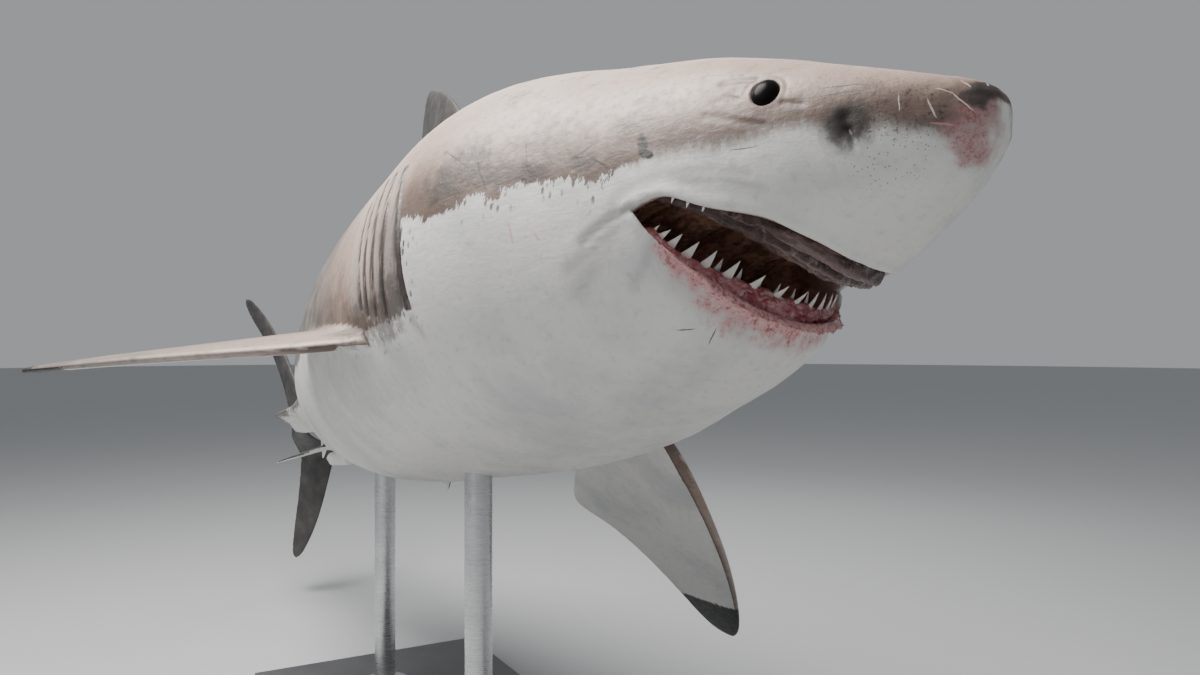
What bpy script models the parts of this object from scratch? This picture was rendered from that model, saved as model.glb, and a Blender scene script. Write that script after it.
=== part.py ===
"""Great white shark, adult male, life size, held banked on a plain two-rod display stand.

Frame: metres, +Z up, origin at the middle of the stand's underside, nose towards -Y,
the shark's left towards +X. The shark itself is drawn straight and level first, by
side (+ left), back (from the snout tip) and up, then bent and banked as one whole.
Lengths along and across the shark are fractions of its total length.
"""
import math

import bmesh
import bpy
import numpy as np
from mathutils import Matrix, Vector

# Driving dimensions
TOTAL_LENGTH = 4.00          # snout tip to the upper tail tip, straightened
FACETS_AROUND = 36           # facets round the body
SECTION_POWER = 2.15         # 2 gives elliptic cross sections, more gives squarer ones
GAP = 0.0003                 # clearance between touching pieces
SWELL = 0.0006               # how far cutters stand proud of the body or piece they copy

# Pose
NECK_TURN = math.radians(11.2)      # the head looks towards the shark's left
NECK_RISE = math.radians(1.4)
TAIL_TURN = math.radians(-5.5)
TAIL_RISE = math.radians(-4.1)
TAIL_TWIST = math.radians(13.7)     # the tail stays upright while the trunk banks
NECK_SPAN = (0.10, 0.30)
TAIL_SPAN = (0.30, 0.90)
BANK = math.radians(12.5)           # left side down
NOSE_UP = math.radians(9.2)
HEADING = math.radians(10.5)        # turns the trunk onto the Y axis
HELD_AT = 0.40                      # the body's station above the stand's middle
HELD_HEIGHT = 1.15                  # height of the body's axis there

# Body profile: back, top, bottom, half width, height of the widest line
PROFILE = (
    (0.00, 0.0048, 0.0048, 0.0000, 0.0048),
    (0.01, 0.0141, -0.0140, 0.0164, 0.002),
    (0.03, 0.0233, -0.0267, 0.0302, 0.002),
    (0.06, 0.0382, -0.0401, 0.0456, 0.002),
    (0.10, 0.0556, -0.0588, 0.0604, 0.000),
    (0.15, 0.0720, -0.0795, 0.0762, -0.004),
    (0.20, 0.0877, -0.0895, 0.0948, -0.006),
    (0.27, 0.0966, -0.0955, 0.0974, -0.004),
    (0.36, 0.1028, -0.0951, 0.0953, -0.002),
    (0.46, 0.0974, -0.0933, 0.0905, 0.000),
    (0.56, 0.0797, -0.0775, 0.0758, 0.002),
    (0.66, 0.0570, -0.0530, 0.0520, 0.003),
    (0.74, 0.0380, -0.0330, 0.0330, 0.003),
    (0.80, 0.0250, -0.0210, 0.0220, 0.003),
    (0.85, 0.0190, -0.0150, 0.0150, 0.003),
    (0.89, 0.0130, -0.0080, 0.0050, 0.003),
)
KEEL_BACK, KEEL_WIDTH, KEEL_SPREAD = 0.835, 0.016, 0.04
JOWL_FULL, JOWL_BACK, JOWL_SPREAD, JOWL_ANGLE = 0.0036, 0.115, 0.035, math.radians(150)

# Where the body is parted, and how many rings each length has
HEAD_END = 0.200
SECTIONS = (
    ("gill_section", 0.200, 0.290, 4),
    ("trunk_front", 0.290, 0.430, 5),
    ("trunk_rear", 0.430, 0.620, 7),
    ("tail_stalk", 0.620, 0.890, 10),
)
HEAD_RINGS = 18

# Mouth, in side view (back, up)
UPPER_LIP = ((0.0535, -0.0374), (0.0560, -0.0344), (0.0605, -0.0312), (0.0642, -0.0284), (0.0700, -0.0262),
             (0.0777, -0.0243), (0.0840, -0.0222), (0.0892, -0.0197), (0.0950, -0.0175), (0.1015, -0.0181))
MOUTH_CORNER = (0.1075, -0.0203)
LOWER_LIP = ((0.1058, -0.0232), (0.1036, -0.0274), (0.1019, -0.0301), (0.1003, -0.0324), (0.0977, -0.0359),
             (0.0961, -0.0384), (0.0938, -0.0410), (0.0915, -0.0434), (0.0906, -0.0462), (0.0900, -0.0520))
MOUTH_AHEAD = ((0.0850, -0.0720), (0.0480, -0.0720), (0.0480, -0.0500))
MOUTH_HALF_WIDTH = 0.085
CAVITY_CENTRE = (0.0, 0.112, -0.031)
CAVITY_RADII = (0.045, 0.050, 0.0215)
JAW_HINGE = (0.1064, -0.0213)
THROAT = (0.195, -0.112)

# Gums: half width, front and rear end (back, up), how back and up run along the arch, then half width
# and half height of the band and height of its teeth, each in front and at the rear
UPPER_GUM = {"half_width": 0.0560, "front": (0.0630, -0.0345), "rear": (0.1120, -0.0091),
             "bend": (0.95, 0.72), "half_thick": (0.0072, 0.0016), "half_high": (0.0060, 0.0030),
             "arch_end": math.radians(84), "teeth": 24, "teeth_end": math.radians(68),
             "tooth": (0.0026, 0.0034), "toward": (0, 0.35, -0.94), "lean": (0, 0.10, 0)}
LOWER_GUM = {"half_width": 0.0515, "front": (0.0938, -0.0425), "rear": (0.1085, -0.0225),
             "bend": (0.78, 0.95), "half_thick": (0.0044, 0.0022), "half_high": (0.0052, 0.0040),
             "arch_end": math.radians(75), "teeth": 13, "teeth_end": math.radians(68),
             "tooth": (0.0080, 0.0030), "toward": (0, -0.30, 0.95), "lean": (0, -0.50, 0)}
GUM_SECTION = ((1, -0.3), (0.62, 1), (-0.62, 1), (-1, -0.3), (0, -1))
TOOTH_SEAT = (0.18, 0.82)            # share of each tooth's length of gum
GUM_GAP = 0.0015                     # between a gum and the groove that it lies in

EYE_PLACE = (0.0600, math.radians(73.2))   # back, angle round the body from the top
EYE_RADII = (0.0056, 0.0048, 0.0030)       # up the head, along it, out of it
EYE_SUNK = 0.0012

# Stand
BASE_SIZE = (0.76, 1.80, 0.040)
BASE_BEVEL = 0.006
BASE_CORNER = 0.060
ROD_RADIUS = 0.032
COLLAR_RADIUS, COLLAR_HEIGHT = 0.075, 0.022
ROD_STATIONS = {"stand_rod_front": 0.335, "stand_rod_rear": 0.560}

BACK_GREY = (0.165, 0.150, 0.135)
BELLY_WHITE = (0.780, 0.770, 0.735)
GUM_PINK = (0.560, 0.200, 0.190)
EYE_BLACK = (0.010, 0.010, 0.012)
STAND_BASE_GREY = (0.060, 0.062, 0.065)
STEEL = (0.560, 0.570, 0.580)


# Materials and objects

def material(name, colour, roughness, metallic=0.0):
    found = bpy.data.materials.get(name)
    if found:
        return found
    made = bpy.data.materials.new(name)
    made.use_nodes = True
    shader = made.node_tree.nodes["Principled BSDF"]
    shader.inputs["Base Color"].default_value = (*colour, 1.0)
    shader.inputs["Roughness"].default_value = roughness
    shader.inputs["Metallic"].default_value = metallic
    made.diffuse_color = (*colour, 1.0)
    return made


def skin_material():
    return material("shark_skin", BACK_GREY, 0.45)


def pale_material():
    return material("belly_skin", BELLY_WHITE, 0.45)


def object_from(bm, name, finish):
    bmesh.ops.recalc_face_normals(bm, faces=bm.faces)
    mesh = bpy.data.meshes.new(name)
    bm.to_mesh(mesh)
    bm.free()
    mesh.materials.append(finish)
    mesh.shade_smooth()
    mesh.set_sharp_from_angle(angle=math.radians(35))
    piece = bpy.data.objects.new(name, mesh)
    bpy.context.scene.collection.objects.link(piece)
    return piece


def as_cutter(piece):
    piece.hide_render = True
    piece.display_type = "WIRE"
    return piece


def boolean(piece, cutter, operation="DIFFERENCE"):
    step = piece.modifiers.new(operation.lower(), "BOOLEAN")
    step.operation = operation
    step.object = cutter
    step.solver = "EXACT"


def loft(rings, name, finish):
    """Skin equal rings in order; a ring of one point is a pole, others get a flat cap."""
    bm = bmesh.new()
    rows = [[bm.verts.new(point) for point in ring] for ring in rings]
    for row, following in zip(rows, rows[1:]):
        count = max(len(row), len(following))
        for i in range(count):
            j = (i + 1) % count
            if len(row) == 1:
                bm.faces.new((row[0], following[j], following[i]))
            elif len(following) == 1:
                bm.faces.new((row[i], row[j], following[0]))
            else:
                bm.faces.new((row[i], row[j], following[j], following[i]))
    for row in (rows[0], rows[-1]):
        if len(row) > 2:
            bm.faces.new(row)
    return object_from(bm, name, finish)


# Curves

def spline(knots, values):
    """Natural cubic spline through the knots, as a function."""
    x = np.asarray(knots, float)
    y = np.asarray(values, float)
    h = np.diff(x)
    size = len(x)
    system = np.eye(size)
    right = np.zeros(size)
    for i in range(1, size - 1):
        system[i, i - 1:i + 2] = (h[i - 1], 2 * (h[i - 1] + h[i]), h[i])
        right[i] = 6 * ((y[i + 1] - y[i]) / h[i] - (y[i] - y[i - 1]) / h[i - 1])
    bend = np.linalg.solve(system, right)

    def value(at):
        i = int(np.clip(np.searchsorted(x, at) - 1, 0, size - 2))
        before = (x[i + 1] - at) / h[i]
        after = (at - x[i]) / h[i]
        curve = (before ** 3 - before) * bend[i] + (after ** 3 - after) * bend[i + 1]
        return float(before * y[i] + after * y[i + 1] + curve * h[i] ** 2 / 6)
    return value


# The profile's splines run over the square root of the distance, which rounds the snout.
ROOTS = [math.sqrt(row[0]) for row in PROFILE]
TOP, BOTTOM, HALF_WIDTH, WIDEST = (spline(ROOTS, [row[i] for row in PROFILE]) for i in (1, 2, 3, 4))


def section_point(back, angle):
    """The body's surface, by distance from the snout and angle round from the top."""
    root = math.sqrt(back)
    across, upward = math.sin(angle), math.cos(angle)
    middle = WIDEST(root)
    reach = (TOP(root) - middle) if upward > 0 else (middle - BOTTOM(root))
    round_across = math.copysign(abs(across) ** (2 / SECTION_POWER), across)
    round_up = math.copysign(abs(upward) ** (2 / SECTION_POWER), upward)
    keel = KEEL_WIDTH * math.exp(-((back - KEEL_BACK) / KEEL_SPREAD) ** 2)
    keel *= math.exp(-(1 - abs(across)) / 0.02)
    jowl = JOWL_FULL * math.exp(-((back - JOWL_BACK) / JOWL_SPREAD) ** 2)
    jowl *= math.exp(-((math.acos(upward) - JOWL_ANGLE) / 0.5) ** 2)
    side = HALF_WIDTH(root) * round_across + math.copysign(keel, across) + jowl * across
    return Vector((side, back, middle + reach * round_up + jowl * upward))


def smooth_step(value):
    value = min(max(value, 0.0), 1.0)
    return value * value * (3 - 2 * value)


def build_spine():
    """The bent axis: at each station its place and the side, back and up directions."""
    step = 0.001
    place = Vector((0, 0, 0))
    frames = []
    for i in range(1101):
        back = i * step
        neck = smooth_step((back - NECK_SPAN[0]) / (NECK_SPAN[1] - NECK_SPAN[0]))
        reach = (back - TAIL_SPAN[0]) / (TAIL_SPAN[1] - TAIL_SPAN[0])
        tail = min(max(reach, 0.0), 1.2) ** 1.5
        turn = NECK_TURN * neck + TAIL_TURN * tail
        rise = NECK_RISE * neck + TAIL_RISE * tail
        twist = TAIL_TWIST * tail
        along = Vector((math.sin(turn) * math.cos(rise), math.cos(turn) * math.cos(rise), math.sin(rise)))
        level = Vector((math.cos(turn), -math.sin(turn), 0))
        upright = level.cross(along)
        side = level * math.cos(twist) + upright * math.sin(twist)
        up = upright * math.cos(twist) - level * math.sin(twist)
        frames.append((place.copy(), side, along, up))
        place += along * step
    return frames


SPINE = build_spine()


def spine_frame(back):
    """Matrix that sets a straight cross section at this station, in fractions of the length."""
    at = min(max(back, 0.0), 1.0) * 1000
    low = min(int(at), len(SPINE) - 2)
    mix = at - low
    place, side, along, up = (first.lerp(second, mix) for first, second in zip(SPINE[low], SPINE[low + 1]))
    frame = Matrix.Identity(4)
    for column, vector in enumerate((side.normalized(), along.normalized(), up.normalized(), place)):
        for row in range(3):
            frame[row][column] = vector[row]
    return frame


def build_pose():
    turned = (Matrix.Rotation(HEADING, 4, "Z") @ Matrix.Rotation(-NOSE_UP, 4, "X")
              @ Matrix.Rotation(BANK, 4, "Y") @ Matrix.Scale(TOTAL_LENGTH, 4))
    held = turned @ spine_frame(HELD_AT).translation
    return Matrix.Translation(Vector((0, 0, HELD_HEIGHT)) - held) @ turned


POSE = build_pose()


def placed(point):
    """A point of the straight shark (side, back, up) on the bent and banked one, in metres."""
    side, back, up = point
    ahead = min(back, 0.0)
    return POSE @ (spine_frame(back) @ Vector((side, ahead, up)))


# Body

def body_ring(back, swell=0.0):
    middle = Vector((0, back, WIDEST(math.sqrt(back))))
    ring = []
    for i in range(FACETS_AROUND):
        point = section_point(back, 2 * math.pi * i / FACETS_AROUND)
        outward = (point - middle).normalized()
        ring.append(placed(point + outward * (swell / TOTAL_LENGTH)))
    return ring


def head_stations():
    return [HEAD_END * (i / HEAD_RINGS) ** 1.7 for i in range(1, HEAD_RINGS + 1)]


def stations(start, end, count):
    return [start + (end - start) * i / count for i in range(count + 1)]


def body_cutter():
    """The whole body, a hair larger, which trims fins and rods where they meet it."""
    rings = [[placed((0, -SWELL, PROFILE[0][1]))]] + [body_ring(back, SWELL) for back in head_stations()]
    for _, start, end, count in SECTIONS:
        rings += [body_ring(back, SWELL) for back in stations(start, end, count)[1:]]
    rings.append(body_ring(SECTIONS[-1][2] + SWELL / TOTAL_LENGTH, SWELL))
    return as_cutter(loft(rings, "cut_body", skin_material()))


def body_sections():
    for name, start, end, count in SECTIONS:
        first = start + GAP / TOTAL_LENGTH
        cuts = [first] + stations(start, end, count)[1:]
        loft([body_ring(back) for back in cuts], name, skin_material())


def side_prism(outline, half_width, name):
    """Extrude a side-view outline (back, up) right across the head, ahead of the neck's bend."""
    rings = [[POSE @ Vector((side, back, up)) for back, up in outline] for side in (-half_width, half_width)]
    return as_cutter(loft(rings, name, skin_material()))


def ball(centre, radii, name, finish, facets=(16, 8)):
    """An ellipsoid in the straight shark, bent with it."""
    around, rows = facets
    rings = []
    for i in range(rows + 1):
        tilt = math.pi * i / rows
        count = 1 if i in (0, rows) else around
        ring = []
        for j in range(count):
            turn = 2 * math.pi * j / count
            offset = (radii[0] * math.sin(tilt) * math.cos(turn), -radii[1] * math.cos(tilt),
                      radii[2] * math.sin(tilt) * math.sin(turn))
            ring.append(placed(Vector(centre) + Vector(offset)))
        rings.append(ring)
    return loft(rings, name, finish)


def jaw_region(clearance, name):
    """The side-view region of the lower jaw: ahead of the cheek cut and below the gape."""
    hinge, throat = Vector(JAW_HINGE), Vector(THROAT)
    normal = Vector((-(throat - hinge).y, (throat - hinge).x)).normalized()
    shift = normal * (clearance / TOTAL_LENGTH)
    cut = [tuple(hinge - shift), tuple(throat - shift)]
    corner = (0.1000, -0.0270)
    ahead = [(0.0400, -0.1120), (0.0400, -0.0560), (0.0860, -0.0400)]
    return side_prism(cut + ahead + [corner], 0.12, name)


# Gums and teeth

def gum_path(gum, turn):
    """Point on the jaw's arch: turn -90 degrees at the right rear, 0 in front, 90 at the left rear."""
    rear = 1 - math.cos(turn)
    (front_back, front_up), (rear_back, rear_up) = gum["front"], gum["rear"]
    return Vector((gum["half_width"] * math.sin(turn),
                   front_back + (rear_back - front_back) * rear ** gum["bend"][0],
                   front_up + (rear_up - front_up) * rear ** gum["bend"][1]))


def gum_frame(gum, turn):
    ahead = gum_path(gum, turn + 0.01) - gum_path(gum, turn - 0.01)
    along = ahead.normalized()
    toward = Vector(gum["toward"])
    upward = (toward - along * toward.dot(along)).normalized()
    return along, upward, along.cross(upward)


def from_front(pair, turn):
    """A size that runs smoothly from its value in front to its value at the rear of the arch."""
    share = min(abs(turn) / math.radians(70), 1.0)
    return pair[0] + (pair[1] - pair[0]) * share * share * (3 - 2 * share)


def gum_rings(gum, turns, gap=0.0):
    grow = gap / TOTAL_LENGTH
    rings = []
    for turn in turns:
        thick = from_front(gum["half_thick"], turn) + grow
        high = from_front(gum["half_high"], turn) + grow
        _, upward, across = gum_frame(gum, turn)
        middle = gum_path(gum, turn)
        rings.append([placed(middle + across * (thick * x) + upward * (high * y)) for x, y in GUM_SECTION])
    return rings


def gum_turns(gum):
    """Turns along the arch: two narrow gaps and one broad tooth seat for each tooth."""
    pitch = 2 * gum["arch_end"] / gum["teeth"]
    turns = []
    for i in range(gum["teeth"]):
        start = -gum["arch_end"] + i * pitch
        turns += [start, start + TOOTH_SEAT[0] * pitch, start + TOOTH_SEAT[1] * pitch]
    return turns + [gum["arch_end"]]


def gum_with_teeth(gum, name):
    """A gum band whose tooth seats are drawn up into triangular teeth."""
    turns = gum_turns(gum)
    rings = gum_rings(gum, turns)
    bm = bmesh.new()
    rows = [[bm.verts.new(point) for point in ring] for ring in rings]
    seats = []
    for k, (row, following) in enumerate(zip(rows, rows[1:])):
        for i in range(5):
            j = (i + 1) % 5
            face = bm.faces.new((row[i], row[j], following[j], following[i]))
            if i == 1 and k % 3 == 1 and abs(turns[k] + turns[k + 1]) / 2 < gum["teeth_end"]:
                seats.append((k, face))
    bm.faces.new(rows[0])
    bm.faces.new(rows[-1])
    bmesh.ops.recalc_face_normals(bm, faces=bm.faces)
    for k, face in seats:
        turn = (turns[k] + turns[k + 1]) / 2
        tall = from_front(gum["tooth"], turn)
        _, upward, _ = gum_frame(gum, turn)
        base = gum_path(gum, turn) + upward * from_front(gum["half_high"], turn)
        tip = base + (upward + Vector(gum["lean"])) * tall
        made = bmesh.ops.extrude_discrete_faces(bm, faces=[face])
        top = made["faces"][0]
        goal = placed(tip)
        for vert in top.verts:
            vert.co = goal + (vert.co - top.calc_center_median()) * 0.06
    return object_from(bm, name, material("gum_and_teeth", GUM_PINK, 0.35))


def gum_cutter(gum, name):
    turns = gum_turns(gum)
    turns[0], turns[-1] = turns[0] - 0.012, turns[-1] + 0.012
    return as_cutter(loft(gum_rings(gum, turns, GUM_GAP), name, skin_material()))


# Eyes

def eye(hand, swell, name):
    back, angle = EYE_PLACE
    angle *= hand
    seat = section_point(back, angle)
    along = (section_point(back + 0.002, angle) - section_point(back - 0.002, angle)).normalized()
    around = (section_point(back, angle + 0.02) - section_point(back, angle - 0.02)).normalized()
    outward = around.cross(along).normalized()
    if outward.x * hand < 0:
        outward.negate()
    centre = seat - outward * EYE_SUNK
    grow = swell / TOTAL_LENGTH
    rings = []
    rows, count = 6, 14
    for i in range(rows + 1):
        tilt = math.pi * i / rows
        ring = []
        for j in range(1 if i in (0, rows) else count):
            turn = 2 * math.pi * j / count
            ring.append(placed(centre + outward * ((EYE_RADII[2] + grow) * math.cos(tilt))
                               + around * ((EYE_RADII[0] + grow) * math.sin(tilt) * math.cos(turn))
                               + along * ((EYE_RADII[1] + grow) * math.sin(tilt) * math.sin(turn))))
        rings.append(ring)
    return loft(rings, name, material("eye_black", EYE_BLACK, 0.08))


def head_and_jaw():
    mouth = side_prism(UPPER_LIP + (MOUTH_CORNER,) + LOWER_LIP + MOUTH_AHEAD, MOUTH_HALF_WIDTH, "cut_gape")
    cavity = as_cutter(ball(CAVITY_CENTRE, CAVITY_RADII, "cut_mouth_cavity", skin_material()))
    upper_groove = gum_cutter(UPPER_GUM, "cut_upper_gum")
    lower_groove = gum_cutter(LOWER_GUM, "cut_lower_gum")
    rings = [[placed((0, 0, PROFILE[0][1]))]] + [body_ring(back) for back in head_stations()]
    head = loft(rings, "head", skin_material())
    jaw = loft(rings, "lower_jaw", pale_material())
    boolean(head, jaw_region(-GAP / 2, "cut_jaw_from_head"))
    boolean(jaw, jaw_region(GAP / 2, "cut_jaw_region"), "INTERSECT")
    for piece, groove in ((head, upper_groove), (jaw, lower_groove)):
        boolean(piece, mouth)
        boolean(piece, cavity)
        boolean(piece, groove)
    for hand, side in ((-1, "right"), (1, "left")):
        eye(hand, 0.0, f"eye_{side}")
        boolean(head, as_cutter(eye(hand, SWELL, f"cut_eye_{side}")))


# Fins

def fin(name, leading, trailing, thickness, place, finish):
    """A fin as one closed body, from its two edges given at equal stations (out, back)."""
    count = len(leading)
    knots = [i / (count - 1) for i in range(count)]
    edges = [spline(knots, [point[i] for point in edge]) for edge in (leading, trailing) for i in (0, 1)]
    spans, chords = (12, 6) if thickness > 0.01 else (7, 4)
    rings = []
    for i in range(spans + 1):
        at = i / spans
        front = Vector((edges[0](at), edges[1](at)))
        rear = Vector((edges[2](at), edges[3](at)))
        chord = (rear - front).length
        half = 0.5 * thickness * (1 - 0.80 * at) * min(1.0, chord / 0.02 + 0.15)
        ring = []
        for j in range(2 * chords):
            turn = math.pi * j / chords
            across = 0.5 - 0.5 * math.cos(turn)
            belly = 2.6 * (math.sqrt(across) - across) + 0.06
            sign = 1 if 0 < j < chords else -1 if j > chords else 0
            flat = front.lerp(rear, across)
            ring.append(place(flat.x, flat.y, sign * half * belly))
        rings.append(ring)
    return loft(rings, name, finish)


def midline_fin(name, leading, trailing, thickness, body, upward=1, curl=0.0):
    """A fin on the midline, its edges given as (height above the axis, distance back).

    A curl swings the front edge of the free blade towards the shark's left.
    """
    def place(up, back, side):
        swing = curl * (CURL_REAR - back) * smooth_step((up - 0.010) / 0.030)
        return placed((side + swing, back, up * upward))
    piece = fin(name, leading, trailing, thickness, place, skin_material())
    boolean(piece, body)
    return piece


def paired_fin(name, leading, trailing, thickness, seat, droop, sweep, pitch, hand, body):
    """A paired fin on its own plane at the body's surface, by hand: -1 right, 1 left."""
    back, angle = seat
    root = section_point(back, angle * hand)
    turned = (Matrix.Rotation(droop * hand, 4, "Y") @ Matrix.Rotation(pitch, 4, "X")
              @ Matrix.Rotation(-sweep * hand, 4, "Z"))
    frame = Matrix.Translation(root) @ turned

    def place(out, rearward, lift):
        return placed(frame @ Vector((out * hand, rearward, lift)))
    piece = fin(name, leading, trailing, thickness, place, skin_material())
    boolean(piece, body)
    return piece


PECTORAL_LEADING = ((-0.036, -0.006), (0.000, 0.000), (0.032, 0.010), (0.070, 0.032), (0.110, 0.061),
                    (0.147, 0.096), (0.170, 0.124), (0.178, 0.140))
PECTORAL_TRAILING = ((-0.036, 0.098), (0.004, 0.120), (0.028, 0.161), (0.056, 0.154), (0.094, 0.148),
                     (0.133, 0.152), (0.163, 0.155), (0.177, 0.146))
PECTORAL_THICKNESS = 0.017
PECTORAL_SET = {  # station, angle round the body, droop, sweep about the root, rise towards the rear
    "right": (0.2625, math.radians(115.5), math.radians(17.4), math.radians(-10.7), math.radians(12.5)),
    "left": (0.2800, math.radians(123.0), math.radians(38.5), math.radians(6.8), math.radians(-5.4)),
}
PELVIC_LEADING = ((-0.015, -0.002), (0.000, 0.000), (0.012, 0.011), (0.024, 0.027), (0.031, 0.043))
PELVIC_TRAILING = ((-0.015, 0.040), (0.002, 0.044), (0.012, 0.055), (0.023, 0.053), (0.030, 0.048))
PELVIC_SEAT = (0.550, math.radians(143))
PELVIC_DROOP = {"right": math.radians(18), "left": math.radians(60)}

DORSAL_LEADING = ((0.070, 0.372), (0.104, 0.385), (0.138, 0.408), (0.172, 0.436),
                  (0.204, 0.470), (0.227, 0.508))
DORSAL_TRAILING = ((0.070, 0.480), (0.104, 0.532), (0.126, 0.518), (0.158, 0.518),
                   (0.196, 0.522), (0.226, 0.518))
SECOND_DORSAL_LEADING = ((0.020, 0.738), (0.038, 0.744), (0.050, 0.756), (0.058, 0.768))
SECOND_DORSAL_TRAILING = ((0.020, 0.758), (0.036, 0.778), (0.047, 0.774), (0.057, 0.774))
ANAL_LEADING = ((0.012, 0.752), (0.030, 0.758), (0.042, 0.770), (0.050, 0.782))
ANAL_TRAILING = ((0.012, 0.772), (0.028, 0.790), (0.040, 0.788), (0.049, 0.788))
CAUDAL_UPPER_LEADING = ((0.004, 0.848), (0.020, 0.850), (0.055, 0.876), (0.096, 0.908),
                        (0.140, 0.948), (0.172, 0.986))
CAUDAL_UPPER_TRAILING = ((0.004, 0.896), (0.020, 0.902), (0.053, 0.916), (0.098, 0.944),
                         (0.140, 0.980), (0.171, 0.998))
CAUDAL_LOWER_LEADING = ((-0.003, 0.848), (0.014, 0.852), (0.045, 0.866), (0.082, 0.882),
                        (0.118, 0.902), (0.145, 0.926))
CAUDAL_LOWER_TRAILING = ((-0.003, 0.896), (0.014, 0.902), (0.040, 0.908), (0.074, 0.916),
                         (0.112, 0.928), (0.143, 0.936))

CAUDAL_CURL = 0.55
CURL_REAR = 0.925                    # the curled lobe turns about its rear edge


def fins(body):
    midline_fin("dorsal_fin", DORSAL_LEADING, DORSAL_TRAILING, 0.016, body)
    midline_fin("second_dorsal_fin", SECOND_DORSAL_LEADING, SECOND_DORSAL_TRAILING, 0.005, body)
    midline_fin("anal_fin", ANAL_LEADING, ANAL_TRAILING, 0.005, body, -1)
    midline_fin("caudal_fin_upper", CAUDAL_UPPER_LEADING, CAUDAL_UPPER_TRAILING, 0.013, body)
    midline_fin("caudal_fin_lower", CAUDAL_LOWER_LEADING, CAUDAL_LOWER_TRAILING, 0.013, body, -1, CAUDAL_CURL)
    for side, hand in (("right", -1), ("left", 1)):
        back, angle, droop, sweep, pitch = PECTORAL_SET[side]
        paired_fin(f"pectoral_fin_{side}", PECTORAL_LEADING, PECTORAL_TRAILING, PECTORAL_THICKNESS,
                   (back, angle), droop, sweep, pitch, hand, body)
        paired_fin(f"pelvic_fin_{side}", PELVIC_LEADING, PELVIC_TRAILING, 0.007,
                   PELVIC_SEAT, PELVIC_DROOP[side], 0.0, 0.0, hand, body)


def claspers(body):
    """A male's two claspers, tapering rods that trail from the pelvic fins."""
    for side, hand in (("right", -1), ("left", 1)):
        rings = []
        for i in range(8):
            at = i / 7
            back = 0.588 + 0.075 * at
            middle = Vector((0.021 * hand, back, -0.066 + 0.004 * at))
            size = 0.0085 * (1 - 0.35 * at) * (0.5 if i == 7 else 1.0)
            rings.append([placed(middle + Vector((size * math.cos(turn), 0, size * math.sin(turn))))
                          for turn in (2 * math.pi * k / 10 for k in range(10))])
        boolean(loft(rings, f"clasper_{side}", pale_material()), body)


# Stand

def turned_piece(profile, centre, name, finish, count=20):
    """A piece turned about a vertical line, from (radius, height) pairs, closed at both ends."""
    rings = [[Vector((centre.x + radius * math.cos(turn), centre.y + radius * math.sin(turn), height))
              for turn in (2 * math.pi * k / count for k in range(count))] for radius, height in profile]
    return loft(rings, name, finish)


def stand(body):
    width, length, height = BASE_SIZE
    outline = []
    for corner_x, corner_y, start in ((1, 1, 0), (-1, 1, 90), (-1, -1, 180), (1, -1, 270)):
        for i in range(4):
            turn = math.radians(start + 30 * i)
            outline.append((corner_x * (width / 2 - BASE_CORNER) + BASE_CORNER * math.cos(turn),
                            corner_y * (length / 2 - BASE_CORNER) + BASE_CORNER * math.sin(turn)))
    rows = ((0.0, BASE_BEVEL / 2), (BASE_BEVEL / 2, 0.0), (height - BASE_BEVEL, 0.0), (height, BASE_BEVEL))
    rings = []
    for level, inset in rows:
        rings.append([Vector((x * (1 - 2 * inset / width), y * (1 - 2 * inset / length), level))
                      for x, y in outline])
    loft(rings, "stand_base", material("stand_base_paint", STAND_BASE_GREY, 0.5))
    for name, station in ROD_STATIONS.items():
        belly = placed(section_point(station, math.pi))
        foot = height + GAP
        profile = ((COLLAR_RADIUS, foot), (COLLAR_RADIUS, foot + COLLAR_HEIGHT - 0.004),
                   (COLLAR_RADIUS - 0.004, foot + COLLAR_HEIGHT), (ROD_RADIUS, foot + COLLAR_HEIGHT),
                   (ROD_RADIUS, belly.z + 0.10))
        rod = turned_piece(profile, belly, name, material("stand_steel", STEEL, 0.3, 1.0))
        boolean(rod, body)


def build():
    for leftover in list(bpy.data.objects):
        bpy.data.objects.remove(leftover, do_unlink=True)
    body = body_cutter()
    head_and_jaw()
    body_sections()
    gum_with_teeth(UPPER_GUM, "upper_gum_and_teeth")
    gum_with_teeth(LOWER_GUM, "lower_gum_and_teeth")
    fins(body)
    claspers(body)
    stand(body)


build()
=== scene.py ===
import math

import bpy
import numpy as np
from mathutils import Matrix, Vector, kdtree, noise


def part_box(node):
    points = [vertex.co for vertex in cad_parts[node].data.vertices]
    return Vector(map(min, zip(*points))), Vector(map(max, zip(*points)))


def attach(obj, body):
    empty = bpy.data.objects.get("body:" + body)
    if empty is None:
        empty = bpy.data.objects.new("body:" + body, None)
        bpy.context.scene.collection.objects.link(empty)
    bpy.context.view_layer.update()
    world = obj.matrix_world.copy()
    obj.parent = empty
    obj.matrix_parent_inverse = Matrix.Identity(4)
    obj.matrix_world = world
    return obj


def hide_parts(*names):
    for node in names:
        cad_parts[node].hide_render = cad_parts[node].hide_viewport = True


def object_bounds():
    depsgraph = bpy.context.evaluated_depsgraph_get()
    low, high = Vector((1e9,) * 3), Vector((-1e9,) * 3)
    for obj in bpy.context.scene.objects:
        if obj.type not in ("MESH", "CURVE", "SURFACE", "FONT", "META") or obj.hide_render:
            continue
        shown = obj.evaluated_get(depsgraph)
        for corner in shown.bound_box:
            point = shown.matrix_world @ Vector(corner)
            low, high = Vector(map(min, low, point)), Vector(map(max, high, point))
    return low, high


# A great white shark, life size, on a two-rod stand. Everything is made on the straight shark first
# (side + left, back from the snout tip, up), then bent and banked like the solids in one go.

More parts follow.
